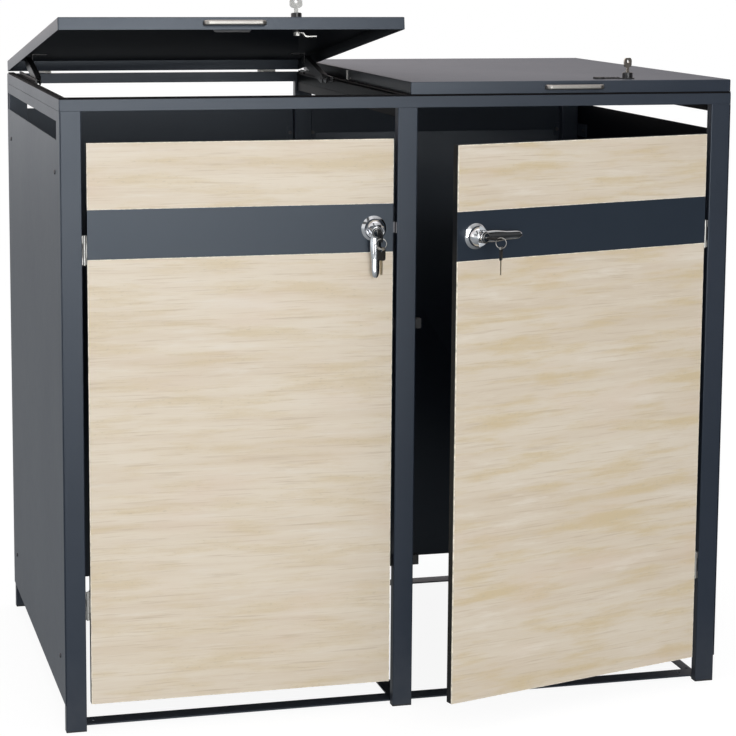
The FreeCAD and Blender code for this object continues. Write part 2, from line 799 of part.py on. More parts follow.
# Doors, drawn for the right side and closed; the left one is the mirror image
def door_tray():
    y0 = front + decor_thickness
    outer = box(door_inner, door_outer, y0, door_back, door_bottom, door_top)
    s = door_sheet
    hollow_part = box(door_inner + s, door_outer - s, y0 + s, door_back - s,
                      door_bottom + s, door_top - s)
    window = box(door_inner + door_lip, door_outer - door_lip, door_back - 2 * s, door_back + 1,
                 door_bottom + door_lip, door_top - door_lip)
    tray = outer.cut(hollow_part).cut(window)
    # Lock box behind the handle, closed, with the spindle hole
    half = 26.0
    case = box(handle_x - half, handle_x + half, y0, door_back, handle_height - half,
               handle_height + half)
    tray = joined([tray, case])
    return tray.cut(spindle_hole())


def spindle_hole():
    return rod(spindle_diameter / 2 + 0.5, V(handle_x, front - 1, handle_height),
               V(handle_x, door_back + 1, handle_height))


def decor(z0, z1):
    return box(door_inner, door_outer, front, front + decor_thickness, z0, z1)


band = decor(band_bottom, band_top).cut(spindle_hole())
wood = [decor(door_bottom, band_bottom), decor(band_top, door_top)]
tray = door_tray()
export("door_right_tray", open_door(tray))
export("door_right_band", open_door(band))
export("door_right_decor", [open_door(field) for field in wood])
export("door_left_tray", mirrored(tray))
export("door_left_band", mirrored(band))
export("door_left_decor", [mirrored(field) for field in wood])


# Door hinges: butt hinges in the gap between post and door
def door_knuckle(z0, z1, bore):
    ring = rod(knuckle_radius, V(door_hinge_x, door_hinge_y, z0), V(door_hinge_x, door_hinge_y, z1))
    return ring.cut(rod(bore, V(door_hinge_x, door_hinge_y, z0 - 1),
                        V(door_hinge_x, door_hinge_y, z1 + 1)))


def hinge_spans(z_mid):
    z0 = z_mid - door_hinge_height / 2
    quarter = door_hinge_height / 4
    return (z0, z0 + quarter - knuckle_gap / 2,
            z0 + quarter + knuckle_gap / 2, z0 + 3 * quarter - knuckle_gap / 2,
            z0 + 3 * quarter + knuckle_gap / 2, z0 + 4 * quarter)


def post_leaf(z_mid):
    a, b, c, d, e, f = hinge_spans(z_mid)
    x0 = post_inner - leaf_thickness
    plate = box(x0, post_inner, door_hinge_y, door_hinge_y + door_leaf_width + 2, a, f)
    plate = plate.cut(box(x0 - 1, post_inner + 1, door_hinge_y - 1, door_hinge_y + knuckle_radius,
                          b, e))
    parts = [plate, door_knuckle(a, b, pin_radius + 0.1), door_knuckle(e, f, pin_radius + 0.1)]
    for z0, z1 in ((a, b), (e, f)):
        web = box(x0 - 0.6, post_inner, door_hinge_y, door_hinge_y + 2.5, z0, z1)
        web = web.cut(rod(pin_radius + 0.1, V(door_hinge_x, door_hinge_y, z0 - 1),
                          V(door_hinge_x, door_hinge_y, z1 + 1)))
        parts.append(web)
    return joined(parts)


def door_leaf(z_mid):
    a, b, c, d, e, f = hinge_spans(z_mid)
    x1 = door_outer + leaf_thickness
    plate = box(door_outer, x1, door_hinge_y, door_hinge_y + door_leaf_width - 1.5, a, f)
    plate = plate.cut(box(door_outer - 1, x1 + 1, door_hinge_y - 1, door_hinge_y + knuckle_radius,
                          a - 1, c))
    plate = plate.cut(box(door_outer - 1, x1 + 1, door_hinge_y - 1, door_hinge_y + knuckle_radius,
                          d, f + 1))
    web = box(door_outer, x1 + 0.6, door_hinge_y, door_hinge_y + 2.5, c, d)
    return joined([plate, door_knuckle(c, d, pin_radius + 0.3), web])


def door_pin(z_mid):
    a, b, c, d, e, f = hinge_spans(z_mid)
    low = V(door_hinge_x, door_hinge_y, a)
    high = V(door_hinge_x, door_hinge_y, f)
    return joined([rod(pin_radius, low, high),
                   rod(2.4, high, high.add(V(0, 0, 1.2))),
                   rod(2.4, low.sub(V(0, 0, 1.2)), low)])


levels = (door_hinge_lower, door_hinge_upper)
export("door_right_hinge_leaves", [open_door(door_leaf(z)) for z in levels])
export("door_left_hinge_leaves", [mirrored(door_leaf(z)) for z in levels])
post_side = []
for z in levels:
    for solid in (post_leaf(z), door_pin(z)):
        post_side += [solid, mirrored(solid)]
export("door_hinge_leaves_fixed", post_side)


# Rubber stops and a strike plate on the middle post
def door_stop(z_mid):
    z0 = z_mid - stop_size / 2
    z1 = z_mid + stop_size / 2
    nose = box(post_half, post_half + latch_gap + 9, door_back + 0.3, post_back, z0, z1)
    block = box(post_half - 14, post_half + latch_gap + 9, post_back, post_back + 12, z0, z1)
    return joined([nose, block])


stops = [door_stop(stop_lower), door_stop(stop_upper)]
export("door_stops", stops + [mirrored(stop) for stop in stops])

strike_z0 = handle_height - strike_height / 2
strike_z1 = handle_height + strike_height / 2
export("strike_plate_left", joined([
    box(-post_half - sheet, -post_half, front + 2, post_back - 1, strike_z0, strike_z1),
    box(-post_half - latch_gap + 0.6, -post_half, front + 10, front + 10 + sheet, strike_z0, strike_z1),
]))


# Door handles, drawn at the origin: spindle along Y, lever hanging down
def rose():
    cap_radius = (rose_diameter ** 2 / 4 + rose_dome ** 2) / (2 * rose_dome)
    centre = V(0, cap_radius - rose_dome - rose_rim, 0)
    dome = Part.makeSphere(cap_radius, centre)
    dome = dome.common(box(-rose_diameter, rose_diameter, -rose_dome - rose_rim - 1, -rose_rim,
                           -rose_diameter, rose_diameter))
    rim = rod(rose_diameter / 2, V(0, -rose_rim, 0), V(0, 0, 0))
    shape = joined([dome, rim])
    shape = shape.cut(rod(spindle_diameter / 2 + 0.4, V(0, 1, 0), V(0, -20, 0)))
    for sign in (-1, 1):
        dimple = rod(1.8, V(0, -20, sign * 18.5), V(0, -rose_rim - 1.0, sign * 18.5))
        shape = shape.cut(dimple)
    # The dome is cut flat where the hub turns on it
    return shape.cut(box(-rose_diameter, rose_diameter, -rose_diameter, -rose_seat,
                         -rose_diameter, rose_diameter))


key_way = V(0, -math.cos(math.radians(key_tilt)), -math.sin(math.radians(key_tilt)))
hub_origin = V(0, -hub_centre, 0)


def on_key_axis(distance):
    """Point on the slanting axis of the key."""
    return hub_origin.add(V(key_way).multiply(distance))


def oval(z, y_mid, width, thickness):
    """Level oval section of the lever."""
    curve = Part.Ellipse(V(width / 2, y_mid, z), V(0, y_mid - thickness / 2, z), V(0, y_mid, z))
    return Part.Wire([curve.toShape()])


def hub_dome():
    """Round hub with a slanting opening below its hood, where the lock barrel stands."""
    dome = Part.makeSphere(hub_diameter / 2, hub_origin)
    size = 2 * hub_diameter
    opening = box(-size, size, -hood_root - size, -hood_root, -hood_drop - size, -hood_drop)
    return dome.cut(turned(opening, V(0, -hood_root, -hood_drop), X_AXIS, -hood_angle))


def lever_blade():
    """Tapering lever, hanging down; shares of reach, width, thickness and its bend outward."""
    sections = []
    for reach, width, thickness, bend in ((0.06, 1.0, 1.0, 0.0), (0.25, 0.93, 0.77, -0.5),
                                          (0.53, 0.81, 0.63, 1.0), (0.79, 0.67, 0.51, 2.0),
                                          (0.96, 0.5, 0.38, 2.5), (1.0, 0.29, 0.2, 2.6)):
        sections.append(oval(-reach * lever_reach, -lever_middle - bend, width * lever_width,
                             thickness * lever_thickness))
    return Part.makeLoft(sections, True, False)


def lever():
    seat = -rose_seat - 0.3
    barrel = rod(barrel_diameter / 2, hub_origin, on_key_axis(hub_length))
    rims = [e for e in barrel.Edges if e.CenterOfMass.distanceToPoint(on_key_axis(hub_length)) < 1]
    shape = joined([hub_dome(), barrel.makeFillet(1.2, rims), lever_blade()])
    shape = shape.cut(box(-hub_diameter, hub_diameter, seat, hub_diameter, -hub_diameter, hub_diameter))
    shape = shape.fuse(rod(spindle_diameter / 2, V(0, seat - 1, 0), V(0, spindle_end, 0)))
    socket = rod(key_core_diameter / 2 + 0.3, on_key_axis(hub_length - key_core_depth - 0.5),
                 on_key_axis(hub_length + 2))
    return shape.cut(socket).removeSplitter()


def head_plate(z0, length, hole_z):
    """Plastic key head standing on Z, with the hole for the ring."""
    t = key_head_thickness / 2
    w = key_head_width / 2
    plate = box(-t, t, -w, w, z0, z0 + length)
    plate = plate.makeFillet(w * 0.45, along(plate, X_AXIS))
    return plate.cut(rod(key_eye, V(-5, 0, hole_z), V(5, 0, hole_z)))


def door_key():
    """Key and its turning core, along the slanting axis."""
    core_top = hub_length + core_proud
    core = rod(key_core_diameter / 2, V(0, 0, hub_length - key_core_depth), V(0, 0, core_top))
    core = core.makeFillet(1.0, [e for e in core.Edges if e.CenterOfMass.z > core_top - 0.1])
    neck = box(-1.1, 1.1, -4, 4, core_top - 2, key_head_start + 2)
    head = head_plate(key_head_start, key_head_length, key_hole)
    key = joined([core, neck, head])
    key = turned(key, V(0, 0, 0), X_AXIS, 90 + key_tilt)
    key.translate(hub_origin)
    return key


def door_cam(up):
    """Collar, cam plate and nut on the inner end of the spindle, behind the post."""
    y_door = door_back - front
    y0 = y_door + door_cam_gap
    y1 = y0 + door_cam_thickness
    half = door_cam_width / 2
    way = 1 if up else -1
    plate = box(-half, half, y0, y1, 0, way * (door_cam_length - half))
    tip = rod(half, V(0, y0, way * (door_cam_length - half)), V(0, y1, way * (door_cam_length - half)))
    eye = rod(half, V(0, y0, 0), V(0, y1, 0))
    collar = rod(door_cam_hub / 2, V(0, y_door + 1, 0), V(0, y0, 0))
    nut = rod(door_cam_hub / 2, V(0, y1, 0), V(0, y1 + 3, 0))
    cam = joined([plate, tip, eye, collar, nut])
    return cam.cut(rod(spindle_diameter / 2 + 0.05, V(0, 0, 0), V(0, y1 + 10, 0)))


def spare_key(hole, heading, hang_inside, turn):
    """Ring through the key head and the spare key hanging from it.

    The heading is the level direction in which the wire runs at the bottom; the turn is
    the angle between the spare key and the plane square to that wire.
    """
    if hang_inside:
        inner = ring_radius - ring_wire
        drop = inner - key_head_thickness / 2 - ring_play
        reach = math.sqrt(inner ** 2 - (inner - ring_play) ** 2)
        centre = hole.add(V(heading).multiply(key_eye - 0.08 + reach)).sub(V(0, 0, drop))
    else:
        centre = hole.sub(V(0, 0, ring_radius + ring_rest))
    axis = V(heading).cross(Z_AXIS)
    ring = Part.makeTorus(ring_radius, ring_wire, centre, axis)
    bottom = centre.sub(V(0, 0, ring_radius))
    low = eye_inset - spare_head
    head = head_plate(low, spare_head, 0)
    blade = box(-0.9, 0.9, -2.6, 2.6, low - spare_blade, low + 2)
    spare = joined([head, blade])
    angle = math.degrees(math.atan2(heading.y, heading.x))
    spare = turned(spare, V(0, 0, 0), Z_AXIS, angle + turn)
    gap = spare_gap + spare_turn_gap * abs(math.sin(math.radians(turn)))
    spare.translate(bottom.sub(V(0, 0, key_eye - ring_wire - gap)))
    return [ring, spare]


def place_left(shape):
    copy = shape.copy()
    copy.translate(V(-handle_x, front, handle_height))
    return copy


def place_right(shape):
    copy = turned(shape, V(0, 0, 0), Y_AXIS, -90)
    copy.translate(V(handle_x, front, handle_height))
    return open_door(copy)


export("door_left_rose", place_left(rose()))
export("door_right_rose", place_right(rose()))
export("door_left_lever", place_left(lever()))
export("door_right_lever", place_right(lever()))
export("door_left_cam", place_left(door_cam(True)))
right_cam = door_cam(False)
right_cam.translate(V(handle_x, front, handle_height))
export("door_right_cam", open_door(right_cam))
export("door_left_key", place_left(door_key()))
export("door_right_key", place_right(door_key()))

left_hole = on_key_axis(key_hole).add(V(-handle_x, front, handle_height))
ring_heading = V(math.cos(math.radians(ring_turn)), math.sin(math.radians(ring_turn)), 0)
export("door_left_spare_key", spare_key(left_hole, ring_heading, False, spare_turn))
slant = on_key_axis(key_hole)
right_hole = V(handle_x - slant.z, front + slant.y, handle_height)
right_heading = V(math.sqrt(0.5), -math.sqrt(0.5), 0)
right_spare = spare_key(right_hole, right_heading, True, 0)
export("door_right_spare_key", [open_door(solid) for solid in right_spare])
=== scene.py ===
import json
import math

import bmesh
import bpy
from bpy.props import FloatProperty, FloatVectorProperty, PointerProperty
from mathutils import Euler, Matrix, Vector


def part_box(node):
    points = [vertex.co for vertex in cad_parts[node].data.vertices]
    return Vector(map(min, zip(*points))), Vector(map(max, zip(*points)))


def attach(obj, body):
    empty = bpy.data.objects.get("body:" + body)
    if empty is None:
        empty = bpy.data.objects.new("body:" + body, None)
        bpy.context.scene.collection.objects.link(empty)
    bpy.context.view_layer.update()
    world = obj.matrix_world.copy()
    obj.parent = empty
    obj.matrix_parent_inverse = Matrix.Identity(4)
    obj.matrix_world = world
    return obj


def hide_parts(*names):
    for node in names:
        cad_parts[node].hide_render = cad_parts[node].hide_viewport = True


bl_info = {
    "name": "Double wheelie bin store",
    "version": (1, 0, 0),
    "blender": (4, 5, 0),
    "location": "View3D > Sidebar > Bin store",
    "description": "Finishes and fine parts of a double wheelie bin store",
    "category": "Object",
}

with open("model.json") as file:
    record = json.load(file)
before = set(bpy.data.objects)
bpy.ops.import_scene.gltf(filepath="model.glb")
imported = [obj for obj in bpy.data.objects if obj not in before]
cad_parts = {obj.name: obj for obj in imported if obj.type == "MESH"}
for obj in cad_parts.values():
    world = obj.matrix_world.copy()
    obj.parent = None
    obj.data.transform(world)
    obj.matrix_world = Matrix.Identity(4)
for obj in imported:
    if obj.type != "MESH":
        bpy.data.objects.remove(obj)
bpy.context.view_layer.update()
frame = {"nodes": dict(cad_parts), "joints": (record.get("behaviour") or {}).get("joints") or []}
joints = {joint["name"]: joint for joint in frame["joints"]}

# Rounding of edges, in metres
SHEET_EDGE = 0.0003
TRAY_EDGE = 0.0004
BAR_EDGE = 0.0005

# Tolerances in metres, and the angles at which faces part
SAME_POINT = 1e-6
SAME_SEAM = 1e-5
SAME_PLANE = math.radians(0.5)
CRISP_SHADING = math.radians(35)
CRISP_EDGE = math.radians(38)
FACES_THAT_WAY = 0.5

# Where the finishes of the keys change, in metres and square metres
CORE_REACH = 0.0255
NECK_REACH = 0.030
SPARE_BLADE = 0.028
SPARE_BLADE_MARGIN = 0.0002
SPARE_RING = 0.023
RING_FACE_AREA = 3.0e-6


# Sizes and colours a user may change


def colour(name, description, value):
    return FloatVectorProperty(
        name=name, description=description, subtype="COLOR", size=4, min=0, max=1,
        default=(*value, 1),
    )


class PaintSettings(bpy.types.PropertyGroup):
    """Powder coat of the steelwork."""

    frame: colour("Frame colour", "Anthracite of the frame and panels", (0.020, 0.028, 0.044))
    inside: colour("Tray colour", "Nearly black coat of the door trays", (0.008, 0.009, 0.011))
    band: colour("Band colour", "Anthracite of the band on the doors", (0.023, 0.033, 0.049))
    guide: colour("Guide colour", "Coat of the lid grips' guide plates", (0.03, 0.033, 0.038))
    black: colour("Black coat", "Lock barrels, stays and tracks", (0.012, 0.012, 0.014))
    roughness: FloatProperty(
        name="Roughness", description="Gloss of the powder coat", subtype="FACTOR",
        default=0.36, min=0.05, max=1,
    )
    peel: FloatProperty(
        name="Peel", description="Height of the fine texture", default=0.00006, unit="LENGTH"
    )


class BoardSettings(bpy.types.PropertyGroup):
    """Decor boards of the doors."""

    light: colour("Light oak", "Lightest streaks of the decor", (0.82, 0.73, 0.60))
    middle: colour("Middle oak", "Main tone of the decor", (0.75, 0.64, 0.50))
    dark: colour("Dark oak", "Darkest streaks of the decor", (0.55, 0.43, 0.29))
    edge: colour("Edging colour", "Pale edges of the boards", (0.80, 0.74, 0.63))
    edging: FloatProperty(
        name="Edging", description="Width of the pale edge line", default=0.0016, unit="LENGTH"
    )


class MetalSettings(bpy.types.PropertyGroup):
    """Bare and plated metal."""

    chrome: colour("Chrome", "Door roses and levers", (0.60, 0.61, 0.63))
    zinc: colour("Zinc", "Hinges and cams", (0.48, 0.475, 0.455))
    # The strike plate is zinc, darkened as painted shade
    strike: colour("Zinc in painted shade", "Strike plate", (0.16, 0.16, 0.17))
    screws: colour("Screws", "Blackened panel screws", (0.10, 0.10, 0.105))
    stainless: colour("Stainless steel", "Lid grips", (0.30, 0.288, 0.27))
    # Both lid keys are one steel: the left key's colour is darkened as painted shade, the right
    # key's lightened as a painted highlight
    left_key_in_painted_shade: colour("Left lid key", "Steel of the left lid's key", (0.17, 0.17, 0.165))
    right_key_with_painted_highlight: colour("Right lid key", "Steel of the right lid's key", (0.42, 0.39, 0.345))
    nickel: colour("Nickel", "Keys and rings", (0.34, 0.335, 0.32))
    brass: colour("Brass", "Blades of the spare keys", (0.60, 0.53, 0.40))


class PlasticSettings(bpy.types.PropertyGroup):
    """Plastic and rubber."""

    caps: colour("Black plastic", "Foot caps", (0.018, 0.018, 0.02))
    rubber: colour("Black rubber", "Door stops and lock covers", (0.014, 0.014, 0.015))
    seal: colour("Seal", "Strips under the lids", (0.006, 0.006, 0.007))
    heads: colour("Key heads", "Heads of the door keys", (0.010, 0.010, 0.011))
    cores: colour("Lock cores", "Cores of the door locks", (0.010, 0.016, 0.024))


class StageSettings(bpy.types.PropertyGroup):
    """Camera, lights and floor."""

    lens: FloatProperty(
        name="Lens", description="Focal length in millimetres", unit="CAMERA", default=110.27
    )
    shift: FloatProperty(name="Shift", description="Vertical lens shift", default=-0.136)
    place: FloatVectorProperty(
        name="Camera place", description="Where the camera stands", subtype="TRANSLATION",
        unit="LENGTH", default=(-1.2184, -4.2317, 1.5171),
    )
    turn: FloatProperty(
        name="Turn", description="Camera heading to the right", subtype="ANGLE",
        default=math.radians(15.114),
    )
    tilt: FloatProperty(
        name="Tilt", description="Camera tilt downwards", subtype="ANGLE",
        default=math.radians(8.072),
    )
    roll: FloatProperty(
        name="Roll", description="Camera roll to the left", subtype="ANGLE",
        default=math.radians(0.444),
    )
    floor: FloatProperty(
        name="Floor size", description="Side of the floor", default=120.0, unit="LENGTH"
    )


# Node helpers


def put(tree, kind, inputs=None, **options):
    """Add one shader node, with its options and the sockets that stay unlinked."""
    node = tree.nodes.new("ShaderNode" + kind)
    for key, value in options.items():
        setattr(node, key, value)
    for key, value in (inputs or {}).items():
        node.inputs[key].default_value = value
    return node


def join(tree, source, target):
    tree.links.new(source, target)


def maths(tree, operation, a, b=0.0, clamp=False):
    """Maths node between two sockets or numbers."""
    node = put(tree, "Math", operation=operation, use_clamp=clamp)
    for socket, value in zip(node.inputs, (a, b)):
        if isinstance(value, (int, float)):
            socket.default_value = value
        else:
            join(tree, value, socket)
    return node.outputs[0]


def add(tree, first, *others):
    for other in others:
        first = maths(tree, "ADD", first, other)
    return first


def times(tree, first, *others):
    for other in others:
        first = maths(tree, "MULTIPLY", first, other)
    return first


def both(tree, a, b):
    """Mask where two masks meet."""
    return maths(tree, "MULTIPLY", a, b, clamp=True)


def centred(tree, value):
    """Noise made to swing around zero."""
    return maths(tree, "SUBTRACT", value, 0.5)


def split(tree, vector):
    """The X, Y and Z of a vector."""
    node = put(tree, "SeparateXYZ")
    join(tree, vector, node.inputs[0])
    return node.outputs


def shade(tree, tint, factor):
    """Colour made lighter or darker by a factor."""
    node = put(tree, "VectorMath", operation="SCALE")
    join(tree, tint, node.inputs[0])
    join(tree, factor, node.inputs["Scale"])
    return node.outputs[0]


def blend(tree, factor, a, b, kind="MIX"):
    """Colour mix between two sockets or colours."""
    node = put(tree, "Mix", data_type="RGBA", blend_type=kind)
    for socket, value in ((node.inputs[0], factor), (node.inputs[6], a), (node.inputs[7], b)):
        if isinstance(value, (int, float)):
            socket.default_value = value
        elif isinstance(value, tuple):
            socket.default_value = (*value, 1)
        else:
            join(tree, value, socket)
    return node.outputs[2]


def remap(tree, value, low, high, to_low=0.0, to_high=1.0):
    """Ramp from one range to another, level beyond its ends."""
    node = put(
        tree, "MapRange",
        {"From Min": low, "From Max": high, "To Min": to_low, "To Max": to_high},
    )
    join(tree, value, node.inputs["Value"])
    return node.outputs["Result"]


def noise(tree, vector, scale, detail=3.0, rough=0.5):
    """Noise with its steps a metre, one number or drawn out along x, y and z."""
    scale = scale if isinstance(scale, tuple) else (scale, scale, scale)
    mapping = put(tree, "Mapping", {"Scale": scale})
    join(tree, vector, mapping.inputs["Vector"])
    cloud = put(tree, "TexNoise", {"Scale": 1.0, "Detail": detail, "Roughness": rough})
    join(tree, mapping.outputs[0], cloud.inputs["Vector"])
    return cloud.outputs["Fac"]


def new_group(name, inputs):
    """Empty surface group with named inputs, and colour, roughness and height as outputs."""
    tree = bpy.data.node_groups.new(name, "ShaderNodeTree")
    for label, kind, default in inputs:
        socket = tree.interface.new_socket(
            name=label, in_out="INPUT", socket_type="NodeSocket" + kind
        )
        if default is not None:
            socket.default_value = default
    for label, kind in (("Colour", "Color"), ("Roughness", "Float"), ("Height", "Float")):
        tree.interface.new_socket(name=label, in_out="OUTPUT", socket_type="NodeSocket" + kind)
    given = tree.nodes.new("NodeGroupInput").outputs
    made = tree.nodes.new("NodeGroupOutput").inputs
    return tree, given, made


def place_group(tree, group, **values):
    node = tree.nodes.new("ShaderNodeGroup")
    node.node_tree = group
    for key, value in values.items():
        node.inputs[key].default_value = value
    return node


# Shared surface effects. A noise is (steps a metre, detail, roughness), a ramp is (from, to)
# or (from, to, value at from, value at to).

PEEL = (950, 2.0)
GRIT = (2600, 1.0)
CLOUDS = (3.2, 4.0, 0.6)
PATCHES = (38, 3.0)
CLOUD_SHARE = 0.7
PATCH_SHARE = 0.3
SPECK_CONTRAST = 0.16
CLOUD_ON_GLOSS = 0.5
LEVEL_FACES_ON_GLOSS = 0.2
DUST_ON_GLOSS = 0.4
GRIT_RELIEF = 0.35
DUST_LOW_DOWN = (0.0, 0.16, 1.0, 0.0)
DUST_TONE = (0.25, 0.23, 0.2)
# Tint that darkens faces looking down or inwards: painted shade
PAINTED_SHADE_TINT = (0.18, 0.18, 0.20)
FACING_DOWN = (-0.7, -0.9)
FACING_UP = (0.7, 0.9)
FACING_ASIDE = (0.7, 0.9)
FACING_INWARD = (-0.2, -0.35)
NEAR_THE_MIDDLE = (0.10, 0.05)


def powder_texture_and_painted_shade(name):
    """Fine peel, cloudy gloss, a touch of dust low down, and painted shade that darkens faces
    looking down or inwards.
    """
    tree, given, made = new_group(
        name,
        [("Vector", "Vector", None), ("Normal", "Vector", None),
         ("Colour", "Color", (0.03, 0.04, 0.05, 1)), ("Roughness", "Float", 0.4),
         ("Cloud", "Float", 0.2), ("Dust", "Float", 0.25), ("Inside", "Float", 0.0)],
    )
    vector = given["Vector"]
    place = split(tree, vector)
    facing = split(tree, given["Normal"])
    peel, grit, cloud, patch = (
        noise(tree, vector, *look) for look in (PEEL, GRIT, CLOUDS, PATCHES)
    )
    mixed = add(tree, times(tree, cloud, CLOUD_SHARE), times(tree, patch, PATCH_SHARE))
    swing = times(tree, centred(tree, mixed), given["Cloud"])
    speck = add(tree, swing, 1.0, times(tree, centred(tree, grit), SPECK_CONTRAST))
    settled = times(tree, remap(tree, place["Z"], *DUST_LOW_DOWN), patch)
    settled = both(tree, settled, given["Dust"])
    dusty = blend(tree, settled, shade(tree, given["Colour"], speck), DUST_TONE)

    # Painted shade: faces looking down, and on panels and lids faces looking inwards, are
    # darkened by a tint
    under = remap(tree, facing["Z"], *FACING_DOWN)
    top = remap(tree, facing["Z"], *FACING_UP)
    inward = remap(tree, times(tree, facing["X"], place["X"]), *FACING_INWARD)
    aside = remap(tree, maths(tree, "ABSOLUTE", facing["X"]), *FACING_ASIDE)
    central = remap(tree, maths(tree, "ABSOLUTE", place["X"]), *NEAR_THE_MIDDLE)
    inner = maths(tree, "MAXIMUM", inward, times(tree, aside, central))
    painted_shade_mask = maths(tree, "MAXIMUM", under, times(tree, inner, given["Inside"]))
    painted_shade = blend(tree, 1.0, dusty, PAINTED_SHADE_TINT, "MULTIPLY")
    join(tree, blend(tree, painted_shade_mask, dusty, painted_shade), made["Colour"])

    level_faces = times(tree, add(tree, under, top), LEVEL_FACES_ON_GLOSS)
    gloss = add(tree, given["Roughness"], times(tree, swing, CLOUD_ON_GLOSS), level_faces)
    gloss = maths(tree, "ADD", gloss, times(tree, settled, DUST_ON_GLOSS), clamp=True)
    join(tree, gloss, made["Roughness"])
    join(tree, add(tree, peel, times(tree, grit, GRIT_RELIEF)), made["Height"])
    return tree


OAK_WAVE = ((2.6, 2.6, 5.0), 2.0)
OAK_WAVE_HEIGHT = 0.011
OAK_NOISES = {
    "broad": ((1.3, 1, 17), 3.0, 0.55),
    "streak": ((2.6, 1, 62), 4.0, 0.6),
    "fine": ((7, 1, 260), 3.0, 0.6),
    "pores": ((28, 1, 900), 2.0),
    "warm": ((3.5, 1, 9), 2.0),
    "fleck": ((90, 1, 340), 2.0),
    "honey": ((3.9, 1, 33), 5.0, 0.64),
}
OAK_BROAD_SHARE = 0.55
OAK_STREAK_SHARE = 0.45
OAK_MIDDLE_TO_LIGHT = (0.36, 0.56)
OAK_DARK_LINES = (0.36, 0.20, 0.0, 0.75)
OAK_DARK_ZONES = (0.62, 0.38)
OAK_THIN_LINES = (0.45, 0.30, 0.0, 0.50)
OAK_PORES = (0.36, 0.24, 0.0, 0.35)
OAK_HONEY_PATCHES = (0.49, 0.64)
OAK_PALE_PATCHES = (0.43, 0.33, 0.0, 0.60)
OAK_PINK_PATCHES = (0.54, 0.70, 0.0, 0.30)
OAK_FLECKS = (0.60, 0.70)
OAK_FLECK_ZONES = (0.50, 0.58)
OAK_FLECK_STRENGTH = 0.45
OAK_ROUGHNESS = 0.46
OAK_PORE_ROUGHNESS = 0.3
OAK_FINE_RELIEF = 0.6
OAK_HONEY = (0.70, 0.57, 0.36)
OAK_PALE = (0.85, 0.78, 0.68)
OAK_PINK = (0.78, 0.62, 0.50)
OAK_FLECK = (0.58, 0.50, 0.38)


def board_grain(name):
    """Level oak streaks with pores, flecks and warm patches."""
    tree, given, made = new_group(
        name,
        [("Vector", "Vector", None), ("Light", "Color", (0.8, 0.7, 0.6, 1)),
         ("Middle", "Color", (0.7, 0.6, 0.5, 1)), ("Dark", "Color", (0.5, 0.4, 0.3, 1)),
         ("Honey", "Float", 0.58)],
    )
    place = split(tree, given["Vector"])
    wave = noise(tree, given["Vector"], *OAK_WAVE)
    lift = times(tree, centred(tree, wave), OAK_WAVE_HEIGHT)
    bent = put(tree, "CombineXYZ")
    join(tree, place["X"], bent.inputs["X"])
    join(tree, add(tree, place["Z"], lift), bent.inputs["Z"])
    grain = {part: noise(tree, bent.outputs[0], *look) for part, look in OAK_NOISES.items()}

    tone = add(
        tree,
        times(tree, grain["broad"], OAK_BROAD_SHARE),
        times(tree, grain["streak"], OAK_STREAK_SHARE),
    )
    dark_lines = both(
        tree,
        remap(tree, grain["streak"], *OAK_DARK_LINES),
        remap(tree, grain["broad"], *OAK_DARK_ZONES),
    )
    pore = remap(tree, grain["pores"], *OAK_PORES)
    honey = both(tree, remap(tree, grain["honey"], *OAK_HONEY_PATCHES), given["Honey"])
    flecks = both(
        tree,
        remap(tree, grain["fleck"], *OAK_FLECKS),
        remap(tree, grain["honey"], *OAK_FLECK_ZONES),
    )
    base = blend(
        tree, remap(tree, tone, *OAK_MIDDLE_TO_LIGHT), given["Middle"], given["Light"]
    )
    for share, stain in (
        (dark_lines, given["Dark"]),
        (remap(tree, grain["fine"], *OAK_THIN_LINES), given["Dark"]),
        (pore, given["Dark"]),
        (honey, OAK_HONEY),
        (remap(tree, grain["honey"], *OAK_PALE_PATCHES), OAK_PALE),
        (remap(tree, grain["warm"], *OAK_PINK_PATCHES), OAK_PINK),
        (times(tree, flecks, OAK_FLECK_STRENGTH), OAK_FLECK),
    ):
        base = blend(tree, share, base, stain)
    join(tree, base, made["Colour"])
    rough = add(tree, times(tree, pore, OAK_PORE_ROUGHNESS), OAK_ROUGHNESS)
    join(tree, rough, made["Roughness"])
    relief = maths(tree, "SUBTRACT", times(tree, grain["fine"], OAK_FINE_RELIEF), pore)
    join(tree, relief, made["Height"])
    return tree


BRUSHING = ((30, 1500, 2600), 2.0)
MOTTLING = (240, 3.0)
SMEARS = (60, 3.0, 0.6)
MOTTLE_CONTRAST = 0.2
LINES_ON_GLOSS = 0.4
LEAST_ROUGHNESS = 0.03


def metal_lines(name):
    """Brushing or plating marks, with smudges from handling."""
    tree, given, made = new_group(
        name,
        [("Vector", "Vector", None), ("Colour", "Color", (0.6, 0.6, 0.6, 1)),
         ("Roughness", "Float", 0.25), ("Lines", "Float", 0.3), ("Smudge", "Float", 0.1)],
    )
    vector, lines = given["Vector"], given["Lines"]
    brushed, mottled, smear = (
        noise(tree, vector, *look) for look in (BRUSHING, MOTTLING, SMEARS)
    )
    mark = centred(tree, brushed)
    mottle = times(tree, centred(tree, mottled), MOTTLE_CONTRAST)
    tone = add(tree, times(tree, mark, lines), 1.0, mottle)
    join(tree, shade(tree, given["Colour"], tone), made["Colour"])
    rough = add(
        tree,
        given["Roughness"],
        times(tree, smear, given["Smudge"]),
        times(tree, mark, times(tree, lines, LINES_ON_GLOSS)),
    )
    rough = maths(tree, "MAXIMUM", rough, LEAST_ROUGHNESS, clamp=True)
    join(tree, rough, made["Roughness"])
    join(tree, brushed, made["Height"])
    return tree


WEAR = (90, 3.0, 0.6)
WEAR_ON_TONE = (0.3, 0.75, 0.75, 1.7)
WEAR_ON_GLOSS = (0.3, 0.7, -0.08, 0.1)


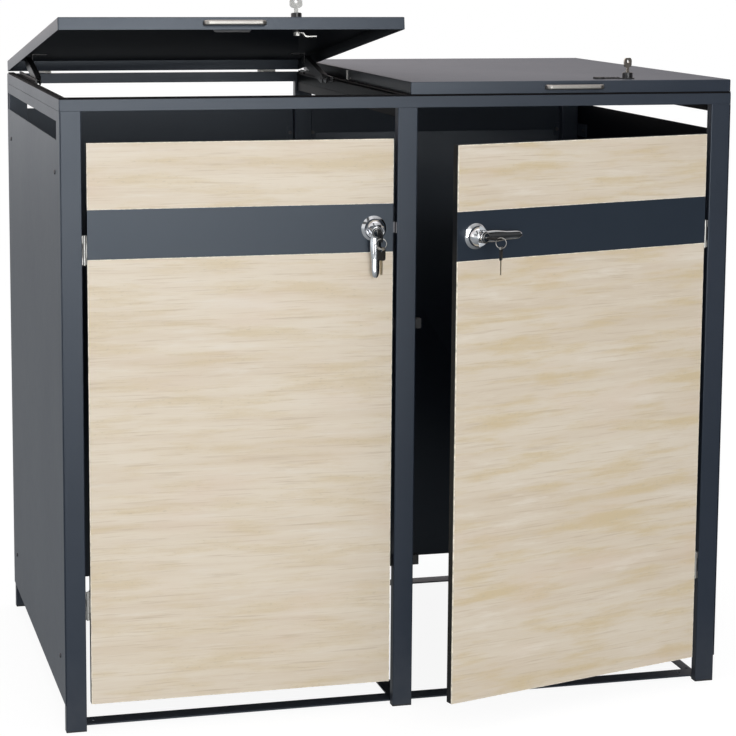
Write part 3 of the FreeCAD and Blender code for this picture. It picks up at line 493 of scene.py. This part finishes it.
def moulded_grain(name):
    """Fine matt grain of moulded plastic and rubber."""
    tree, given, made = new_group(
        name,
        [("Vector", "Vector", None), ("Colour", "Color", (0.02, 0.02, 0.02, 1)),
         ("Roughness", "Float", 0.5), ("Grain", "Float", 1400.0)],
    )
    grain = put(tree, "TexVoronoi", {"Randomness": 1.0})
    join(tree, given["Vector"], grain.inputs["Vector"])
    join(tree, given["Grain"], grain.inputs["Scale"])
    worn = noise(tree, given["Vector"], *WEAR)
    tone = remap(tree, worn, *WEAR_ON_TONE)
    join(tree, shade(tree, given["Colour"], tone), made["Colour"])
    polish = remap(tree, worn, *WEAR_ON_GLOSS)
    rough = maths(tree, "ADD", given["Roughness"], polish, clamp=True)
    join(tree, rough, made["Roughness"])
    join(tree, grain.outputs["Distance"], made["Height"])
    return tree


# Materials. A bump is the height of the effect's relief, in metres.

COAT_TINT = (0.86, 0.93, 1)


def finish(name, effect, bump, turn=0.0, metallic=0.0, specular=0.5, tint=(1, 1, 1), **values):
    """Material whose colour, gloss and bump come from one of the shared effects."""
    known = bpy.data.materials.get(name)
    if known:
        return known
    material = bpy.data.materials.new(name)
    material.use_nodes = True
    tree = material.node_tree
    tree.nodes.clear()
    surface = put(
        tree, "BsdfPrincipled",
        {"Metallic": metallic, "Specular IOR Level": specular, "Specular Tint": (*tint, 1)},
    )
    spot = put(tree, "TexCoord")
    where = spot.outputs["Object"]
    if turn:
        mapping = put(tree, "Mapping", {"Rotation": (0, 0, turn)})
        join(tree, where, mapping.inputs["Vector"])
        where = mapping.outputs[0]
    label = effect.__name__.replace("_", " ")
    group = bpy.data.node_groups.get(label) or effect(label)
    texture = place_group(tree, group, **values)
    join(tree, where, texture.inputs["Vector"])
    if "Normal" in texture.inputs:
        join(tree, spot.outputs["Normal"], texture.inputs["Normal"])
    relief = put(tree, "Bump", {"Strength": 1.0, "Distance": bump})
    join(tree, texture.outputs["Height"], relief.inputs["Height"])
    join(tree, texture.outputs["Colour"], surface.inputs["Base Color"])
    join(tree, texture.outputs["Roughness"], surface.inputs["Roughness"])
    join(tree, relief.outputs[0], surface.inputs["Normal"])
    output = put(tree, "OutputMaterial")
    join(tree, surface.outputs[0], output.inputs["Surface"])
    return material


def powder_coat(name, paint, tone, inside=0.0, sheen=0.5):
    """Powder coat; inside sets the painted shade on faces that look inwards, sheen is its mirror
    strength.
    """
    return finish(
        name, powder_texture_and_painted_shade, paint.peel, specular=sheen, tint=COAT_TINT, Colour=tone,
        Roughness=paint.roughness, Cloud=0.22, Dust=0.12, Inside=inside,
    )


def black_coat(name, tone):
    """Satin black coat of the small steel parts."""
    return finish(
        name, powder_texture_and_painted_shade, bump=0.00004, Colour=tone, Roughness=0.34, Cloud=0.3, Dust=0.0
    )


def oak_decor(name, boards, turn, painted_shade_factor, honey):
    """Decor of one door, with its grain turned along with the door; its light and middle tones
    are scaled by a painted shade factor.
    """
    light, middle = (
        [*(Vector(tone[:3]) * painted_shade_factor), 1] for tone in (boards.light, boards.middle)
    )
    return finish(
        name, board_grain, bump=0.0001, turn=-turn, specular=0.35, Light=light, Middle=middle,
        Dark=boards.dark, Honey=honey,
    )


def metal(name, tone, roughness, lines=0.2, smudge=0.2, bump=0.00002):
    """Bare or plated metal, brushed by lines and dulled by smudge."""
    return finish(
        name, metal_lines, bump, metallic=1.0, Colour=tone, Roughness=roughness, Lines=lines,
        Smudge=smudge,
    )


def moulded(name, tone, roughness, grain=1400.0, bump=0.00008, specular=0.5):
    """Plastic or rubber, with its grain in cells a metre."""
    return finish(
        name, moulded_grain, bump, specular=specular, Colour=tone, Roughness=roughness,
        Grain=grain,
    )


def zinc_plate(metals):
    return metal("zinc plate", metals.zinc, roughness=0.3)


def black_rubber(plastics):
    return moulded("black rubber", plastics.rubber, roughness=0.6)


# Mesh helpers


def rest_angle(joint_name):
    """Angle from the closed to the rest position of a lid or door."""
    return -math.radians(joints[joint_name]["range_deg"][0])


def rest_turn(joint_name):
    """Matrix from the closed to the rest position of a lid or door."""
    joint = joints[joint_name]
    place = Matrix.Translation(Vector(joint["pos_m"]))
    turn = Matrix.Rotation(rest_angle(joint_name), 4, Vector(joint["axis"]))
    return place @ turn @ place.inverted()


def round_edges(piece, width):
    """Narrow bevel that catches the light along crisp edges."""
    bevel = piece.modifiers.new("soft edges", "BEVEL")
    bevel.width = width
    bevel.segments = 2
    bevel.limit_method = "ANGLE"
    bevel.angle_limit = CRISP_EDGE
    bevel.harden_normals = True


def soften(piece, width):
    """Join the triangles of a CAD solid into flat faces, then round its edges."""
    weld = piece.modifiers.new("weld seams", "WELD")
    weld.merge_threshold = SAME_SEAM
    flat = piece.modifiers.new("flat faces", "DECIMATE")
    flat.decimate_type = "DISSOLVE"
    flat.angle_limit = SAME_PLANE
    round_edges(piece, width)


def dress(material, *names, edge=0.0):
    """Give CAD nodes their finish, and round the edges of sheet and bar."""
    for name in names:
        node = frame["nodes"][name]
        if not node.material_slots:
            node.data.materials.append(material)
        for slot in node.material_slots:
            slot.material = material
        if edge:
            soften(node, edge)


def piece_from(name, mesh, materials, body, matrix=None):
    """New piece from a bmesh, in place and riding on its body."""
    if matrix is not None:
        mesh.transform(matrix)
        if matrix.determinant() < 0:
            bmesh.ops.reverse_faces(mesh, faces=mesh.faces)
    data = bpy.data.meshes.new(name)
    mesh.to_mesh(data)
    mesh.free()
    piece = bpy.data.objects.new(name, data)
    bpy.context.scene.collection.objects.link(piece)
    for material in materials:
        data.materials.append(material)
    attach(piece, body)
    return piece


def block(mesh, low, high):
    """Box between two corners; returns its faces."""
    made = bmesh.ops.create_cube(mesh, size=1.0)["verts"]
    centre = (Vector(low) + Vector(high)) / 2
    size = Vector(high) - Vector(low)
    for vert in made:
        vert.co = centre + Vector([vert.co[i] * size[i] for i in range(3)])
    return list({face for vert in made for face in vert.link_faces})


def dressed_copy(name, node, body, pick, materials, edge=0.0):
    """Copy of a CAD solid whose faces take different finishes; pick gives the index of each."""
    mesh = bmesh.new()
    mesh.from_mesh(frame["nodes"][node].data)
    bmesh.ops.remove_doubles(mesh, verts=mesh.verts, dist=SAME_POINT)
    for face in mesh.faces:
        face.material_index = pick(face)
    piece = piece_from(name, mesh, materials, body)
    piece.data.shade_smooth()
    piece.data.set_sharp_from_angle(angle=CRISP_SHADING)
    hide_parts(node)
    if edge:
        soften(piece, edge)
    return piece


def faces_left(face):
    return int(face.normal.x < -FACES_THAT_WAY)


def faces_down(face):
    return int(face.normal.z < -FACES_THAT_WAY)


# Pieces


class PaintSteelwork(bpy.types.Operator):
    """Powder coat on the frame, panels, lids and door trays"""

    bl_idname = "bin_store.paint_steelwork"
    bl_label = "Paint steelwork"

    def execute(self, context):
        paint = context.scene.bin_store_paint
        frame_coat = powder_coat("anthracite frame", paint, paint.frame)
        # The middle rails take the trays' near-black colour and almost no mirror: painted shade,
        # as they stand in shade inside the store
        shaded_rail_coat = powder_coat("anthracite middle rail in painted shade", paint, paint.inside, sheen=0.02)
        tray_coat = powder_coat("dark door tray", paint, paint.inside, sheen=0.1)
        band_coat = powder_coat("anthracite band", paint, paint.band)
        panel_coat = powder_coat("anthracite panel", paint, paint.frame, inside=1.0)
        dress(
            frame_coat, "post_front_left", "post_front_middle", "post_front_right",
            "posts_rear", "ring_rail_front", "ring_rail_rear", "ring_rails_side",
            "sill_front", "sill_rear", "floor_bars", edge=BAR_EDGE,
        )
        dress(shaded_rail_coat, "ring_rail_middle", "tie_rail_middle", edge=BAR_EDGE)
        dress(panel_coat, "side_panel_left", "rear_panels", edge=SHEET_EDGE)
        dress(tray_coat, "door_left_tray", "door_right_tray", edge=TRAY_EDGE)
        dress(band_coat, "door_left_band", "door_right_band", edge=TRAY_EDGE)
        self.add_split_finishes(paint, panel_coat)
        return {"FINISHED"}

    def add_split_finishes(self, paint, panel_coat):
        """Shaded copies of the panel coat, with weaker mirror, on the inner side of the right
        panel and under the lids: painted shade.
        """
        # Painted shade: these copies differ from the panel coat only by a weaker mirror
        shaded_inner_coat = powder_coat(
            "anthracite inner face in painted shade", paint, paint.frame, inside=1.0, sheen=0.02
        )
        shaded_under_coat = powder_coat(
            "anthracite underside in painted shade", paint, paint.frame, inside=1.0, sheen=0.2
        )
        dressed_copy(
            "right_side_panel", "side_panel_right", "cabinet",
            faces_left, (panel_coat, shaded_inner_coat), SHEET_EDGE,
        )
        for side in ("left", "right"):
            dressed_copy(
                f"{side}_lid_tray", f"lid_{side}", f"lid_{side}",
                faces_down, (panel_coat, shaded_under_coat), TRAY_EDGE,
            )


# Side, mirroring, painted shade factor and honey of a door's boards; the open door's boards are
# warmer, and painted a little darker as shade
DOOR_BOARDS = (("left", 1, 1.0, 0.58), ("right", -1, 0.957, 0.88))


class DecorBoards(bpy.types.Operator):
    """Oak decor boards with pale edging on both doors"""

    bl_idname = "bin_store.decor_boards"
    bl_label = "Decor boards"

    def execute(self, context):
        boards = context.scene.bin_store_boards
        edge = moulded("board edging", boards.edge, roughness=0.45, grain=900.0, bump=0.00003)
        for side, mirror, painted_shade_factor, honey in DOOR_BOARDS:
            joint = f"door_{side}_hinge"
            oak = oak_decor(f"oak decor {side}", boards, rest_angle(joint), painted_shade_factor, honey)
            matrix = rest_turn(joint) @ Matrix.Scale(mirror, 4, Vector((1, 0, 0)))
            piece = piece_from(
                f"{side}_door_boards", self.edged_boards(boards.edging), (oak, edge),
                f"door_{side}", matrix,
            )
            round_edges(piece, TRAY_EDGE)
            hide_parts(f"door_{side}_decor")
        return {"FINISHED"}

    def edged_boards(self, edging):
        """The left door's boards above and below its band, each with an edge line in front."""
        low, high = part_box("door_left_decor")
        band_low, band_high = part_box("door_left_band")
        mesh = bmesh.new()
        for bottom, top in ((low.z, band_low.z), (band_high.z, high.z)):
            faces = block(mesh, (low.x, low.y, bottom), (high.x, high.y, top))
            front = [face for face in faces if face.normal.y < -FACES_THAT_WAY]
            for face in faces:
                face.material_index = 0 if face in front else 1
            rim = bmesh.ops.inset_region(mesh, faces=front, thickness=edging)["faces"]
            for face in rim:
                face.material_index = 1
        return mesh


class LidGrips(bpy.types.Operator):
    """Flattened bow grips and guide plates of the lids"""

    bl_idname = "bin_store.lid_grips"
    bl_label = "Lid grips"

    def execute(self, context):
        steel = metal(
            "stainless steel", context.scene.bin_store_metals.stainless, roughness=0.36,
            lines=0.5, smudge=0.12,
        )
        plate = black_coat("dark guide plate", context.scene.bin_store_paint.guide)
        for side in ("left", "right"):
            shut = rest_turn(f"lid_{side}_hinge").inverted()
            dressed_copy(
                f"{side}_lid_grip", f"lid_{side}_handle", f"lid_{side}",
                lambda face: 0 if (shut @ face.calc_center_median()).y < 0 else 1,
                (steel, plate),
            )
        return {"FINISHED"}


class LidLocks(bpy.types.Operator):
    """Lock barrels, keys, cams and rubber covers of the lids"""

    bl_idname = "bin_store.lid_locks"
    bl_label = "Lid locks"

    def execute(self, context):
        metals = context.scene.bin_store_metals
        case = black_coat("black lock case", context.scene.bin_store_paint.black)
        rubber = black_rubber(context.scene.bin_store_plastics)
        dress(case, "lid_left_lock_barrel", "lid_right_lock_barrel")
        dress(rubber, "lid_left_lock_cover", "lid_right_lock_cover")
        dress(zinc_plate(metals), "lid_left_lock_cam", "lid_right_lock_cam")
        # Painted shade on the left key and a painted highlight on the right key, both the same
        # steel
        dress(metal("key steel left in painted shade", metals.left_key_in_painted_shade, roughness=0.3), "lid_left_key")
        dress(metal("key steel right with painted highlight", metals.right_key_with_painted_highlight, roughness=0.3), "lid_right_key")
        return {"FINISHED"}


class HingesAndStays(bpy.types.Operator):
    """Zinc hinges and cams, black lid stays, the strike and the screws"""

    bl_idname = "bin_store.hinges_and_stays"
    bl_label = "Hinges and stays"

    def execute(self, context):
        metals = context.scene.bin_store_metals
        black = black_coat("black steel", context.scene.bin_store_paint.black)
        dress(
            zinc_plate(metals),
            "lid_hinge_leaves_fixed", "lid_left_hinge_leaves", "lid_right_hinge_leaves",
            "door_hinge_leaves_fixed", "door_left_hinge_leaves", "door_right_hinge_leaves",
            "door_left_cam", "door_right_cam", "lid_right_side_pad",
        )
        # The strike plate is zinc, darkened as painted shade
        dress(metal("zinc in painted shade", metals.strike, roughness=0.45), "strike_plate_left")
        dress(metal("blackened screw", metals.screws, roughness=0.4), "panel_screws")
        dress(
            black, "stay_tracks", "lid_left_stay_arms", "lid_right_stay_arms",
            "lid_left_stay_brackets", "lid_right_stay_brackets", edge=SHEET_EDGE,
        )
        return {"FINISHED"}


class PlasticParts(bpy.types.Operator):
    """Foot caps, ring seals and door stops"""

    bl_idname = "bin_store.plastic_parts"
    bl_label = "Plastic parts"

    def execute(self, context):
        plastics = context.scene.bin_store_plastics
        caps = moulded("black plastic", plastics.caps, roughness=0.5)
        seal = moulded("black seal", plastics.seal, roughness=0.8, specular=0.08)
        dress(caps, "foot_caps", edge=TRAY_EDGE)
        dress(black_rubber(plastics), "door_stops", edge=TRAY_EDGE)
        dress(seal, "ring_seals")
        return {"FINISHED"}


class DoorHandles(bpy.types.Operator):
    """Chrome roses and levers, keys and spare keys of the doors"""

    bl_idname = "bin_store.door_handles"
    bl_label = "Door handles"

    def execute(self, context):
        metals = context.scene.bin_store_metals
        plastics = context.scene.bin_store_plastics
        chrome = metal(
            "chrome", metals.chrome, roughness=0.05, lines=0.03, smudge=0.08, bump=0.0
        )
        nickel = metal("nickel", metals.nickel, roughness=0.22, lines=0.15, smudge=0.15)
        brass = metal("brass", metals.brass, roughness=0.26, lines=0.25, smudge=0.15)
        head = moulded(
            "black key head", plastics.heads, roughness=0.5, grain=2000.0, bump=0.00004,
            specular=0.2,
        )
        core = moulded("dark lock core", plastics.cores, roughness=0.25, grain=2000.0, bump=0.0)
        for side in ("left", "right"):
            dress(chrome, f"door_{side}_rose", f"door_{side}_lever")
            key, spare = f"door_{side}_key", f"door_{side}_spare_key"
            hub = Vector(joints[f"door_{side}_key_turn"]["pos_m"])
            dressed_copy(
                f"{side}_door_key", key, key, door_key_finish(hub),
                (core, nickel, head),
            )
            dressed_copy(
                f"{side}_spare_key", spare, spare,
                spare_key_finish(*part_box(spare)), (nickel, head, brass),
            )
        return {"FINISHED"}


def door_key_finish(hub):
    """Core, neck or head of a door key, told by the distance from its hub."""

    def pick(face):
        reach = (face.calc_center_median() - hub).length
        if reach < CORE_REACH:
            return 0
        return 1 if reach < NECK_REACH else 2

    return pick


def spare_key_finish(low, high):
    """Ring, head or blade of a spare key, told by height and by the ring's small faces."""

    def pick(face):
        height = face.calc_center_median().z
        if height < low.z + SPARE_BLADE - SPARE_BLADE_MARGIN:
            return 2
        small = face.calc_area() < RING_FACE_AREA
        return 0 if small and height > high.z - SPARE_RING else 1

    return pick


# Stage. Lamps: name, place, aim, width and height, watts.

LAMPS = (
    ("key", (-0.1, -5.4, 1.40), (0, 0, 0.85), (2.3, 2.6), 110),
    ("upper", (0.2, -5.4, 3.35), (0, 0, 2.7), (2.6, 1.3), 86),
    ("side", (-4.2, -1.5, 2.2), (-0.6, 0.3, 0.7), (2.2, 2.2), 18),
    ("top", (0, 0.6, 4.2), (0, 0.4, 0.6), (2.6, 2.6), 20),
)
MIRROR_ONLY = "upper"

SENSOR_WIDTH = 36
FARTHEST_VIEW = 500

FLOOR_TONE = (0.62, 0.62, 0.62, 1)
FLOOR_WHITE = 1.22
FLOOR_WHITE_SHARE = 0.75
FLOOR_MIRRORED = (0.93, 0.97, 1, 1)
FLOOR_SLANT = 0.25
FLOOR_ASIDE = (-1.0, 1.6, 1.06, 0.08)
FLOOR_IN_FRONT = (-1.5, -12.0, 0.50, 1.15)
FLOOR_BEHIND = (0.0, 0.6, 1.0, 0.88)
FLOOR_FAR_BEHIND = (10.0, 17.0, 0.9, 1.9)

WHITE = (1, 1, 1, 1)
AHEAD_TINT = (1.0, 0.92, 0.91)
SOFT_LIGHT = 0.55
ROOM_ACROSS = (0.08, 0.42, 1.1, 0.08)
ROOM_AHEAD = (-0.35, 0.25)
ROOM_ABOVE = (0.35, 0.9)
ROOM_HORIZON = (-0.03, 0.06, 1.75, 1.65)
ROOM_ASIDE = (0.12, 0.45, 1.0, 0.5)
FLAG_LEVEL = ((0.26, 0.32), (0.54, 0.44))
FLAG_UPRIGHT = ((-0.42, -0.35), (-0.14, -0.21))
FLAG_IN_FRONT = (0.0, -0.25)
FLAG_DARKNESS = 0.9


class StudioStage(bpy.types.Operator):
    """Pale floor, soft light and the camera"""

    bl_idname = "bin_store.studio_stage"
    bl_label = "Studio stage"

    def execute(self, context):
        stage = context.scene.bin_store_stage
        self.add_floor(stage)
        self.light_world(context.scene)
        self.add_lamps()
        self.add_camera(context.scene, stage)
        context.scene.view_settings.view_transform = "Standard"
        return {"FINISHED"}

    def add_camera(self, scene, stage):
        data = bpy.data.cameras.new("camera")
        data.sensor_width = SENSOR_WIDTH
        data.lens = stage.lens
        data.shift_y = stage.shift
        data.clip_end = FARTHEST_VIEW
        camera = bpy.data.objects.new("camera", data)
        camera.location = stage.place
        level = Euler((math.pi / 2 - stage.tilt, 0, -stage.turn)).to_matrix()
        camera.rotation_euler = (level @ Matrix.Rotation(stage.roll, 3, "Z")).to_euler()
        scene.collection.objects.link(camera)
        scene.camera = camera

    def add_floor(self, stage):
        mesh = bmesh.new()
        bmesh.ops.create_grid(mesh, x_segments=4, y_segments=4, size=stage.floor / 2)
        data = bpy.data.meshes.new("floor")
        mesh.to_mesh(data)
        mesh.free()
        floor = bpy.data.objects.new("floor", data)
        bpy.context.scene.collection.objects.link(floor)
        data.materials.append(self.floor_finish())

    def floor_finish(self):
        """Matt and nearly white to the camera, with its own glow in paint and chrome."""
        material = bpy.data.materials.new("pale floor")
        material.use_nodes = True
        tree = material.node_tree
        tree.nodes.clear()
        matt = put(tree, "BsdfDiffuse", {"Color": FLOOR_TONE})
        white = put(tree, "Emission", {"Color": WHITE, "Strength": FLOOR_WHITE})
        glow = put(tree, "Emission", {"Color": FLOOR_MIRRORED})
        join(tree, self.floor_glow(tree), glow.inputs["Strength"])
        ray = put(tree, "LightPath").outputs
        seen = maths(tree, "ADD", ray["Is Camera Ray"], ray["Is Transmission Ray"], clamp=True)
        direct = self.mix(tree, times(tree, seen, FLOOR_WHITE_SHARE), matt, white)
        surface = self.mix(tree, ray["Is Glossy Ray"], direct, glow)
        join(tree, surface.outputs[0], put(tree, "OutputMaterial").inputs["Surface"])
        return material

    def floor_glow(self, tree):
        """How bright the floor looks in paint and chrome: most on the far left."""
        spot = split(tree, put(tree, "TexCoord").outputs["Object"])
        slant = times(tree, maths(tree, "MINIMUM", spot["Y"], 0.0), FLOOR_SLANT)
        return times(
            tree,
            remap(tree, add(tree, spot["X"], slant), *FLOOR_ASIDE),
            remap(tree, spot["Y"], *FLOOR_IN_FRONT),
            remap(tree, spot["Y"], *FLOOR_BEHIND),
            remap(tree, spot["Y"], *FLOOR_FAR_BEHIND),
        )

    def light_world(self, scene):
        """White to the camera, soft light on the object, and a shaped room in its mirrors."""
        world = bpy.data.worlds.new("studio")
        scene.world = world
        world.use_nodes = True
        tree = world.node_tree
        tree.nodes.clear()
        way = split(tree, put(tree, "TexCoord").outputs["Generated"])
        ahead = times(
            tree,
            remap(tree, way["Y"], *ROOM_AHEAD),
            remap(tree, way["Z"], *ROOM_HORIZON),
            remap(tree, way["X"], *ROOM_ASIDE),
        )
        room = maths(tree, "MAXIMUM", remap(tree, way["X"], *ROOM_ACROSS), ahead)
        room = maths(tree, "MAXIMUM", room, remap(tree, way["Z"], *ROOM_ABOVE))
        room = times(tree, room, self.dark_flags(tree, way))
        soft = put(tree, "Background", {"Color": WHITE, "Strength": SOFT_LIGHT})
        white = put(tree, "Background", {"Color": WHITE, "Strength": 1.0})
        studio = put(tree, "Background")
        join(tree, blend(tree, ahead, WHITE[:3], AHEAD_TINT), studio.inputs["Color"])
        join(tree, room, studio.inputs["Strength"])
        ray = put(tree, "LightPath").outputs
        mirrored = maths(
            tree, "ADD", ray["Is Glossy Ray"], ray["Is Transmission Ray"], clamp=True
        )
        shiny = self.mix(tree, mirrored, soft, studio)
        seen = self.mix(tree, ray["Is Camera Ray"], shiny, white)
        join(tree, seen.outputs[0], put(tree, "OutputWorld").inputs["Surface"])

    def dark_flags(self, tree, way):
        """Dark bands in front, one level and one upright, that give chrome its contrast."""
        level, upright = (
            maths(tree, "MINIMUM", remap(tree, way[axis], *rise), remap(tree, way[axis], *fall))
            for axis, (rise, fall) in (("Z", FLAG_LEVEL), ("X", FLAG_UPRIGHT))
        )
        in_front = remap(tree, way["Y"], *FLAG_IN_FRONT)
        flags = times(tree, maths(tree, "MAXIMUM", level, upright), in_front, FLAG_DARKNESS)
        return maths(tree, "SUBTRACT", 1.0, flags)

    def mix(self, tree, share, first, second):
        node = put(tree, "MixShader")
        join(tree, share, node.inputs["Fac"])
        join(tree, first.outputs[0], node.inputs[1])
        join(tree, second.outputs[0], node.inputs[2])
        return node

    def add_lamps(self):
        for name, place, aim, size, watts in LAMPS:
            data = bpy.data.lights.new(name, "AREA")
            data.shape = "RECTANGLE"
            data.size, data.size_y = size
            data.energy = watts
            lamp = bpy.data.objects.new(name, data)
            lamp.visible_diffuse = name != MIRROR_ONLY
            lamp.location = place
            towards = Vector(aim) - Vector(place)
            lamp.rotation_euler = towards.to_track_quat("-Z", "Y").to_euler()
            bpy.context.scene.collection.objects.link(lamp)


class StorePanel(bpy.types.Panel):
    """Lists the steps that dress the bin store"""

    bl_idname = "VIEW3D_PT_bin_store"
    bl_label = "Bin store"
    bl_space_type = "VIEW_3D"
    bl_region_type = "UI"
    bl_category = "Bin store"

    def draw(self, context):
        for step in steps:
            self.layout.operator(step.bl_idname)


settings = {
    "bin_store_paint": PaintSettings,
    "bin_store_boards": BoardSettings,
    "bin_store_metals": MetalSettings,
    "bin_store_plastics": PlasticSettings,
    "bin_store_stage": StageSettings,
}
steps = (
    StudioStage,
    PaintSteelwork,
    DecorBoards,
    LidGrips,
    LidLocks,
    HingesAndStays,
    PlasticParts,
    DoorHandles,
)


def register():
    for cls in (*settings.values(), *steps, StorePanel):
        bpy.utils.register_class(cls)
    for name, group in settings.items():
        setattr(bpy.types.Scene, name, PointerProperty(type=group))


def unregister():
    for name in settings:
        delattr(bpy.types.Scene, name)
    for cls in reversed((*settings.values(), *steps, StorePanel)):
        bpy.utils.unregister_class(cls)


def main():
    register()
    bpy.ops.bin_store.studio_stage()
    bpy.ops.bin_store.paint_steelwork()
    bpy.ops.bin_store.decor_boards()
    bpy.ops.bin_store.lid_grips()
    bpy.ops.bin_store.lid_locks()
    bpy.ops.bin_store.hinges_and_stays()
    bpy.ops.bin_store.plastic_parts()
    bpy.ops.bin_store.door_handles()
    bpy.context.view_layer.update()


if __name__ == "__main__":
    main()
